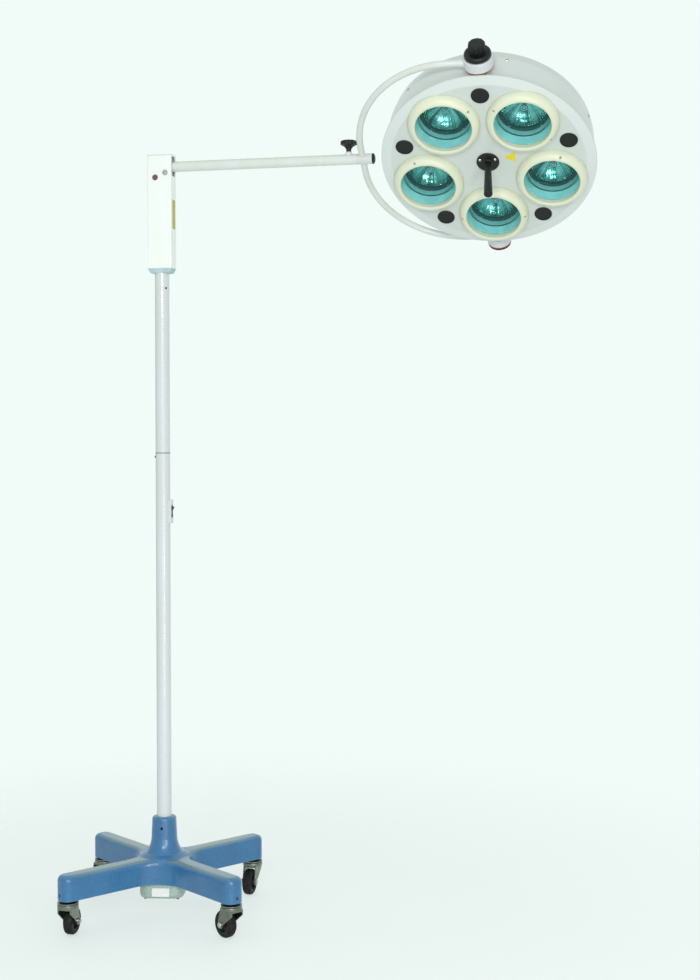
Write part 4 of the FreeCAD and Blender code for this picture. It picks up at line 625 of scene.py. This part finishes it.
def rounded_polygon(points, radius):
    """The outline of a convex polygon, given anticlockwise, with rounded corners."""
    outline = []
    count = len(points)
    for number in range(count):
        corner = Vector(points[number])
        before = (Vector(points[number - 1]) - corner).normalized()
        after = (Vector(points[(number + 1) % count]) - corner).normalized()
        half = before.angle(after) / 2
        centre = corner + (before + after).normalized() * (radius / math.sin(half))
        start = corner + before * (radius / math.tan(half)) - centre
        end = corner + after * (radius / math.tan(half)) - centre
        turn = start.angle_signed(end)
        for step in range(CORNER_STEPS + 1):
            rotated = start.copy()
            rotated.rotate(Matrix.Rotation(-turn * step / CORNER_STEPS, 2))
            outline.append(tuple(centre + rotated))
    return outline


def rectangle(width, height, radius):
    """The outline of a rectangle with rounded corners, centred on the origin."""
    x = width / 2
    y = height / 2
    return rounded_polygon([(-x, -y), (x, -y), (x, y), (-x, y)], radius)


# ---------------------------------------------------------------- lens units

# Sizes of one lens unit: radii about its own axis, and heights along it from the head's origin, which
# are positive towards the face.
REFLECTOR_RIM = 66.5 * MM
REFLECTOR_MOUTH = 60 * MM
REFLECTOR_FRONT = 13.4 * MM
REFLECTOR_WALL = 1 * MM
BAND_BACK = 2.5 * MM
BAND_BACK_RADIUS = 59 * MM
BOWL_FRONT = -8 * MM
BOWL_MOUTH = 55 * MM
BOWL_NECK = 11 * MM
BOWL_BACK = -37 * MM
BOWL_RINGS = 16
BOWL_ELLIPSE = 1.02
LINER_FRONT = 17 * MM
LINER_RADIUS = 59.5 * MM
GASKET_FRONT = LINER_FRONT + 1.2 * MM
CLAMP_OUTER = 58.6 * MM
CLAMP_INNER = 52.6 * MM
CLAMP_SCREW_CIRCLE = 56.8 * MM
CLAMP_SCREW_ANGLES = (50, 130, 230, 310)
BULB_FOOT = -34 * MM
BULB_FOOT_RADIUS = 4 * MM
BULB_FOOT_LENGTH = 5 * MM
BULB_TIP = -6 * MM
BULB_RADIUS = 6.3 * MM
SHIELD_RADIUS = 9.5 * MM
SHIELD_DEPTH = 1.6 * MM
SHIELD_GROOVES = (7.5 * MM, 5 * MM, 2.5 * MM)
SHIELD_HOOPS = (3.6 * MM, 8.2 * MM)

# The bowl's hollow flutes: their number, the steps round each, and their depth as a share of the radius.
FLUTES = 24
FLUTE_STEPS = 6
FLUTE_DEPTH = 0.012

# Steps round the turned pieces of a lens unit.
RING_STEPS = 96
BULB_STEPS = 40
SCREW_STEPS = 20


def bowl_points():
    """(radius, height) down the bowl, from its mouth to its neck, on an elliptic curve."""

    def depth(radius):
        return math.sqrt(1 - (radius / (BOWL_MOUTH * BOWL_ELLIPSE)) ** 2)

    shallowest = depth(BOWL_MOUTH)
    deepest = depth(BOWL_NECK)
    points = []
    for ring in range(BOWL_RINGS + 1):
        radius = BOWL_MOUTH + (BOWL_NECK - BOWL_MOUTH) * ring / BOWL_RINGS
        fall = (depth(radius) - shallowest) / (deepest - shallowest)
        points.append((radius, BOWL_FRONT + (BOWL_BACK - BOWL_FRONT) * fall))
    return points


def reflection_darkness(angle, wave):
    """How dark the painted reflection is on a bowl's line at that angle: narrow lines over broader patches."""
    broad = math.sin(3 * angle + wave) + math.sin(7 * angle + 2.3 * wave)
    fine = math.sin(19 * angle + 4.1 * wave) * math.sin(31 * angle - wave)
    return min(1.0, max(0.0, broad * 0.55 + fine * 1.6))


def paint_dark_reflections(mesh):
    """Stores the painted dark reflections of all five bowls on the mesh's points, for the mirror finish."""
    layer = mesh.verts.layers.float.new(PAINTED_REFLECTION)
    places = lens_frames()
    for vert in mesh.verts:
        wave = min(range(LENS_COUNT), key=lambda number: (vert.co - places[number].translation).length)
        local = places[wave].inverted() @ vert.co
        if local.z < BOWL_FRONT:
            vert[layer] = reflection_darkness(math.atan2(local.y, local.x), wave + 1)


def reflector_cups():
    """Five reflectors: a flat rim, a straight band and a bowl with hollow flutes down it."""
    mesh = bmesh.new()
    inner = [(REFLECTOR_RIM, REFLECTOR_FRONT), (REFLECTOR_MOUTH, REFLECTOR_FRONT)]
    inner += [(BAND_BACK_RADIUS, BAND_BACK), (BAND_BACK_RADIUS - 1 * MM, BOWL_FRONT + 1 * MM)]
    first_fluted = len(inner)
    inner += bowl_points()
    last_fluted = len(inner) - 1
    outer = []
    for radius, height in reversed(inner[1:]):
        outer.append((radius + REFLECTOR_WALL, height - REFLECTOR_WALL))
    outer.append((REFLECTOR_RIM, REFLECTOR_FRONT - REFLECTOR_WALL))

    def flutes(angle, number):
        if not first_fluted < number <= last_fluted:
            return 1
        return 1 + FLUTE_DEPTH * abs(math.sin(angle * FLUTES / 2))

    for place in lens_frames():
        lathe(mesh, place, inner + outer, FLUTES * FLUTE_STEPS, flutes)
    paint_dark_reflections(mesh)
    piece = add_piece("fluted_reflectors", mesh, "lamp_head", "reflector_mirror", smooth_angle=12)
    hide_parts("reflectors")


def reflector_rings():
    """Black rings: a gasket at each liner's front, a clamp round each bowl, hoops on each shield."""
    mesh = bmesh.new()
    gasket = [(LINER_RADIUS, LINER_FRONT), (LINER_RADIUS, GASKET_FRONT)]
    gasket += [(LINER_RADIUS - 0.8 * MM, GASKET_FRONT), (LINER_RADIUS - 1 * MM, LINER_FRONT)]
    clamp = [(CLAMP_OUTER, BOWL_FRONT), (CLAMP_OUTER, BAND_BACK), (CLAMP_INNER + 1 * MM, BAND_BACK)]
    clamp += [(CLAMP_INNER, BAND_BACK - 1 * MM), (CLAMP_INNER, BOWL_FRONT)]
    hoop_back = BULB_TIP - 0.2 * MM
    hoop_front = BULB_TIP + 0.4 * MM
    for place in lens_frames():
        lathe(mesh, place, gasket, RING_STEPS)
        lathe(mesh, place, clamp, RING_STEPS)
        for radius in SHIELD_HOOPS:
            hoop = [(radius, hoop_back), (radius + 1 * MM, hoop_back)]
            hoop += [(radius + 0.9 * MM, hoop_front), (radius, hoop_front)]
            lathe(mesh, place, hoop, BULB_STEPS)
    add_piece("reflector_rings", mesh, "lamp_head", "black_plastic")


def reflector_liners():
    """A satin liner inside the straight band of each reflector and the back of its sleeve."""
    mesh = bmesh.new()
    back = BAND_BACK + 0.1 * MM
    liner = [(LINER_RADIUS, LINER_FRONT), (LINER_RADIUS - 0.4 * MM, LINER_FRONT)]
    liner += [(BAND_BACK_RADIUS - 0.5 * MM, back), (BAND_BACK_RADIUS - 0.1 * MM, back)]
    for place in lens_frames():
        lathe(mesh, place, liner, RING_STEPS)
    finish = metal("satin_liner", srgb(216, 236, 232), 0.4, srgb(186, 214, 210))
    finish.shader.inputs["Metallic"].default_value = 0.25
    add_piece("reflector_liners", mesh, "lamp_head", "reflector_mirror", finish.material)


def ring_screws():
    """Small bright screws through the clamp rings, at the same angles in all five."""
    mesh = bmesh.new()
    dome = [(0, 0), (1.6 * MM, 0), (1.5 * MM, 0.5 * MM), (1.0 * MM, 0.9 * MM), (0, 1.1 * MM)]
    for place in lens_frames():
        unturned = Matrix.Translation(place.translation) @ HEAD.to_3x3().to_4x4()
        for angle in CLAMP_SCREW_ANGLES:
            seat = unturned @ on_circle(CLAMP_SCREW_CIRCLE, angle, BAND_BACK + 0.05 * MM)
            lathe(mesh, seat, dome, SCREW_STEPS)
    add_piece("reflector_ring_screws", mesh, "lamp_head", "bright_screws")


def bulbs():
    """Five halogen bulbs: a narrow foot, a capsule and a grooved glare shield at the tip."""
    mesh = bmesh.new()
    foot_top = BULB_FOOT + BULB_FOOT_LENGTH
    bulb = [(0, BULB_FOOT), (BULB_FOOT_RADIUS, BULB_FOOT), (BULB_FOOT_RADIUS, foot_top)]
    bulb += arc((BULB_RADIUS - 3 * MM, foot_top + 4 * MM), 3 * MM, -60, 0, 5)
    bulb += arc((0, BULB_TIP - 6 * MM), BULB_RADIUS, 0, 75, 8)
    shield_back = BULB_TIP - SHIELD_DEPTH
    bulb += [(2 * MM, shield_back), (SHIELD_RADIUS - 0.6 * MM, shield_back)]
    bulb += [(SHIELD_RADIUS, shield_back + 0.6 * MM), (SHIELD_RADIUS - 0.5 * MM, BULB_TIP)]
    for radius in SHIELD_GROOVES:
        bulb += [(radius + 0.5 * MM, BULB_TIP), (radius, BULB_TIP - 0.7 * MM)]
        bulb.append((radius - 0.5 * MM, BULB_TIP))
    bulb.append((0, BULB_TIP))
    for place in lens_frames():
        lathe(mesh, place, bulb, BULB_STEPS)
    piece = add_piece("shielded_bulbs", mesh, "lamp_head", "bulb_glass")
    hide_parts("bulbs")


# ---------------------------------------------------------------- vent plugs

VENT_RADIUS = 20.5 * MM
VENT_HEIGHT = 2.4 * MM
VENT_SUNK = VENT_HEIGHT - 0.9 * MM
VENT_STEM_RADIUS = 16.9 * MM
VENT_STEM_DEPTH = 7 * MM
VENT_STEPS = 72

# Rings of pips on a plug: the ring's radius and the number of its pips.
PIP_RINGS = ((4.2 * MM, 8), (8.2 * MM, 14), (12.2 * MM, 20), (16.0 * MM, 26))
PIP_STEPS = 10


def vent_plugs():
    """Five black plugs: a rolled rim round a sunk face with rings of small pips."""
    mesh = bmesh.new()
    plug = [(0, -VENT_STEM_DEPTH), (VENT_STEM_RADIUS, -VENT_STEM_DEPTH)]
    plug += [(VENT_STEM_RADIUS, FILM_GAP), (VENT_RADIUS, FILM_GAP)]
    plug += [(VENT_RADIUS, 1 * MM), (VENT_RADIUS - 0.5 * MM, 1.9 * MM)]
    plug += [(VENT_RADIUS - 1.3 * MM, VENT_HEIGHT), (VENT_RADIUS - 2 * MM, VENT_HEIGHT)]
    plug += [(VENT_RADIUS - 2.5 * MM, VENT_SUNK), (0, VENT_SUNK)]
    pip = [(0, -0.2 * MM), (1.1 * MM, -0.2 * MM), (1.0 * MM, 0.3 * MM), (0, 0.75 * MM)]
    for place in vent_frames():
        lathe(mesh, place, plug, VENT_STEPS)
        for radius, count in PIP_RINGS:
            for number in range(count):
                seat = place @ spun(360 / count * number) @ Matrix.Translation((radius, 0, VENT_SUNK))
                lathe(mesh, seat, pip, PIP_STEPS)
    piece = add_piece("vent_plug_covers", mesh, "lamp_head", "black_plastic")
    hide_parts("vent_plugs")


# ---------------------------------------------------------------- labels and small fittings

# The labels: thickness, softening of the edge, then each one's outline and corner radius, and its place.
LABEL_THICKNESS = 0.3 * MM
LABEL_SOFTNESS = 0.1 * MM
TRIANGLE_SIDE = 30 * MM
TRIANGLE_CORNER = 1.5 * MM
TRIANGLE_PLACE = (55 * MM, 18 * MM)
AMBER_LABEL = (20 * MM, 70 * MM, 2 * MM)
AMBER_LABEL_HEIGHT = 1687 * MM
WHITE_LABEL = (42 * MM, 20 * MM, 1 * MM)
WHITE_LABEL_HEIGHT = 65 * MM
HOUSING_HALF = 53.5 * MM

# Headings are in degrees from the arm's direction, heights are above the floor.
ARM_END_REACH = 290 * MM
END_SCREW_HEIGHT = 98 * MM
COLUMN_RADIUS = 17.5 * MM
RIVET_HEADING = -40
RIVET_HEIGHT = 1509 * MM
FITTING_STEPS = 24

# The hubs' red rings: the turn to the hub's axis, the hub's radius, and the ring's two ends. Each ring
# is sunk in its hub and stands a little proud of it.
HUB_RINGS = ((-90, 33 * MM, 251.4 * MM, 252.6 * MM), (90, 28.5 * MM, 273.2 * MM, 275.7 * MM))
HUB_RING_SUNK = 2 * MM
HUB_RING_PROUD = 0.15 * MM
HUB_RING_STEPS = 72

# The ring round the access plug: inner radius, outer radius at its foot and at its top, and height.
PLUG_RING = (5.9 * MM, 7.3 * MM, 7.1 * MM, 0.5 * MM)
PLUG_RING_STEPS = 40


def warning_triangle():
    """A plain yellow triangle on the face, with no symbol."""
    mesh = bmesh.new()
    height = TRIANGLE_SIDE * math.sqrt(3) / 2
    corners = [(-height * 2 / 3, 0), (height / 3, -TRIANGLE_SIDE / 2), (height / 3, TRIANGLE_SIDE / 2)]
    x, y = TRIANGLE_PLACE
    place = HEAD @ Matrix.Translation((x, y, FACE_PLANE + FILM_GAP))
    plate(mesh, place, rounded_polygon(corners, TRIANGLE_CORNER), LABEL_THICKNESS, LABEL_SOFTNESS)
    finish = label_finish("yellow_label", srgb(232, 216, 30), srgb(206, 184, 30))
    add_piece("plain_triangle_label", mesh, "lamp_head", material=finish)


def spring_box_label():
    """A blank amber label on the arm side of the spring box."""
    low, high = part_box("spring_box")
    mesh = bmesh.new()
    place = Matrix.Translation((high.x + FILM_GAP, (low.y + high.y) / 2, AMBER_LABEL_HEIGHT))
    place = place @ spun(90, "Y") @ spun(90)
    plate(mesh, place, rectangle(*AMBER_LABEL), LABEL_THICKNESS, LABEL_SOFTNESS)
    finish = label_finish("amber_label", srgb(186, 178, 62), srgb(158, 148, 52))
    add_piece("blank_amber_label", mesh, "upper_mast", material=finish)


def base_directions():
    """Level directions from the column to each of the four casters."""
    places = [Vector(joints[f"caster_swivel_{number}"]["pos_m"]) for number in (1, 2, 3, 4)]
    return [Vector((place.x, place.y, 0)).normalized() for place in places]


def facing(direction, reach, height):
    """A frame at a reach from the column, with z level and outward and y upward."""
    out = direction * reach
    sideways = Vector((0, 0, 1)).cross(direction)
    return upright(Vector((out.x, out.y, height)), sideways, Vector((0, 0, 1)))


def housing_label():
    """A blank white label on the transformer housing, on the side between the two front arms."""
    arms = base_directions()
    front = (arms[2] + arms[3]).normalized()
    mesh = bmesh.new()
    place = facing(front, HOUSING_HALF + 0.05 * MM, WHITE_LABEL_HEIGHT)
    plate(mesh, place, rectangle(*WHITE_LABEL), LABEL_THICKNESS, LABEL_SOFTNESS)
    finish = label_finish("white_label", srgb(240, 242, 240), srgb(214, 216, 212))
    add_piece("blank_white_label", mesh, "stand", material=finish)


def arm_end_screws():
    """A dark socket screw low in the end of each arm of the base, which holds the caster's stem."""
    mesh = bmesh.new()
    socket = [(0, -2 * MM), (3.4 * MM, -2 * MM), (3.4 * MM, 0.2 * MM), (3 * MM, 0.5 * MM)]
    socket += [(1.7 * MM, 0.5 * MM), (1.5 * MM, -0.8 * MM), (0, -0.8 * MM)]
    for direction in base_directions():
        lathe(mesh, facing(direction, ARM_END_REACH, END_SCREW_HEIGHT), socket, FITTING_STEPS)
    add_piece("arm_end_screws", mesh, "stand", "black_plastic")


def column_rivet():
    """A small domed rivet on the upper tube, below the spring box."""
    mesh = bmesh.new()
    dome = [(0, -1 * MM), (2.6 * MM, -1 * MM), (2.6 * MM, 0.3 * MM), (2.2 * MM, 0.9 * MM)]
    dome += [(1.2 * MM, 1.3 * MM), (0, 1.4 * MM)]
    direction = spun(RIVET_HEADING) @ Vector((1, 0, 0))
    lathe(mesh, facing(direction, COLUMN_RADIUS, RIVET_HEIGHT), dome, FITTING_STEPS)
    add_piece("column_rivet", mesh, "upper_mast", "dark_washer")


def hub_rings():
    """A red fibre edge under the upper hub and a wider red ring round the lower hub's end."""
    mesh = bmesh.new()
    for turn, radius, low, high in HUB_RINGS:
        inner = radius - HUB_RING_SUNK
        outer = radius + HUB_RING_PROUD
        band = [(inner, low), (outer, low), (outer, high), (inner, high)]
        lathe(mesh, HEAD @ spun(turn, "X"), band, HUB_RING_STEPS)
    add_piece("hub_rings", mesh, "yoke", "fibre_red")


def plug_gasket():
    """A thin red ring round the access plug of the spring box."""
    low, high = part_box("access_plug")
    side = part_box("spring_box")[0].y
    middle = Vector(((low.x + high.x) / 2, side, (low.z + high.z) / 2))
    place = upright(middle, Vector((1, 0, 0)), Vector((0, 0, 1)))
    inner, foot, top, height = PLUG_RING
    mesh = bmesh.new()
    ring = [(inner, FILM_GAP), (foot, FILM_GAP), (top, height), (inner, height)]
    lathe(mesh, place, ring, PLUG_RING_STEPS)
    add_piece("plug_gasket", mesh, "upper_mast", "fibre_red")


# ---------------------------------------------------------------- stage, lights and camera

# The floor is partly clear up to FLOOR_FADE from the column and wholly clear at its edge.
FLOOR_RADIUS = 2.2
FLOOR_FADE = 0.35
FLOOR_CLEARNESS = 0.62
FLOOR_SEGMENTS = 96


def floor():
    """A plain pale floor, partly clear, so that shadows stay faint and its edge can't be seen."""
    mesh = bmesh.new()
    bmesh.ops.create_circle(mesh, cap_ends=True, segments=FLOOR_SEGMENTS, radius=FLOOR_RADIUS)
    data = bpy.data.meshes.new("floor")
    mesh.to_mesh(data)
    mesh.free()
    finish = Finish("pale_floor", srgb(246, 250, 248), 0.7)
    finish.tint(finish.noise(0.6), srgb(241, 246, 244), 0.5)
    inputs = {0: finish.texture_place.outputs["Object"]}
    reach = finish.node("ShaderNodeVectorMath", inputs, operation="LENGTH")
    fade = finish.between(reach.outputs["Value"], FLOOR_FADE, FLOOR_RADIUS)
    share = finish.node("ShaderNodeMapRange", {"Value": fade, "To Min": FLOOR_CLEARNESS})
    clear = finish.node("ShaderNodeBsdfTransparent", {})
    finish.mix_in(clear.outputs["BSDF"], share.outputs["Result"])
    data.materials.append(finish.material)
    ground = bpy.data.objects.new("floor", data)
    bpy.context.scene.collection.objects.link(ground)


def softbox(name, place, target, size, power):
    """A rectangular area light of (width, height) at place that faces target."""
    lamp = bpy.data.lights.new(name, "AREA")
    lamp.shape = "RECTANGLE"
    lamp.size, lamp.size_y = size
    lamp.energy = power
    holder = bpy.data.objects.new(name, lamp)
    holder.location = place
    direction = Vector(target) - Vector(place)
    holder.rotation_euler = direction.to_track_quat("-Z", "Y").to_euler()
    bpy.context.scene.collection.objects.link(holder)


# The surroundings are bright behind the object, towards +Y, and dimmer everywhere else. The first two
# numbers are Y of the direction looked in, the last two the brightness there.
BACKDROP = {"From Min": 0.4, "From Max": 0.84, "To Min": 0.64, "To Max": 0.985}


def lights():
    """Pale surroundings, two small lamps in front, and three larger softboxes."""
    world = bpy.data.worlds.new("pale_studio")
    world.use_nodes = True
    background = world.node_tree.nodes["Background"]
    background.inputs["Color"].default_value = (*srgb(243, 253, 250), 1)
    direction = world.node_tree.nodes.new("ShaderNodeTexCoord")
    parts = world.node_tree.nodes.new("ShaderNodeSeparateXYZ")
    strength = world.node_tree.nodes.new("ShaderNodeMapRange")
    strength.interpolation_type = "SMOOTHSTEP"
    for socket, value in BACKDROP.items():
        strength.inputs[socket].default_value = value
    world.node_tree.links.new(direction.outputs["Generated"], parts.inputs["Vector"])
    world.node_tree.links.new(parts.outputs["Y"], strength.inputs["Value"])
    world.node_tree.links.new(strength.outputs["Result"], background.inputs["Strength"])
    bpy.context.scene.world = world
    middle = (0.45, 0, 1.2)
    softbox("front_left", (0.6, -3.7, 2.0), middle, (0.35, 0.35), 22)
    softbox("front_right", (1.7, -3.7, 1.9), middle, (0.35, 0.35), 22)
    softbox("low_front", (0.8, -3.2, 0.3), (0.7, 0, 1.7), (1.2, 0.8), 8)
    softbox("strip_right", (1.8, -2.5, 0.5), (0, 0, 0.1), (0.3, 1.0), 18)
    softbox("overhead", (-0.8, -1.2, 3.6), (0.3, 0, 0.9), (1.6, 1.6), 5)


def camera():
    """The camera at the angle the object is shown from."""
    data = bpy.data.cameras.new("camera")
    data.sensor_width = CAMERA_SENSOR
    data.lens = CAMERA_LENS
    data.shift_x, data.shift_y = CAMERA_SHIFT
    holder = bpy.data.objects.new("camera", data)
    holder.location = CAMERA_PLACE
    # Unturned, a camera looks straight down. A turn of 90 degrees makes it level.
    turns = (90, CAMERA_ROLL, CAMERA_HEADING)
    holder.rotation_euler = [math.radians(turn) for turn in turns]
    bpy.context.scene.collection.objects.link(holder)
    bpy.context.scene.camera = holder


finish_cad_nodes()
reflector_cups()
reflector_rings()
reflector_liners()
ring_screws()
bulbs()
vent_plugs()
warning_triangle()
spring_box_label()
housing_label()
arm_end_screws()
column_rivet()
plug_gasket()
hub_rings()
floor()
lights()
camera()
bpy.context.scene.view_settings.view_transform = "Standard"
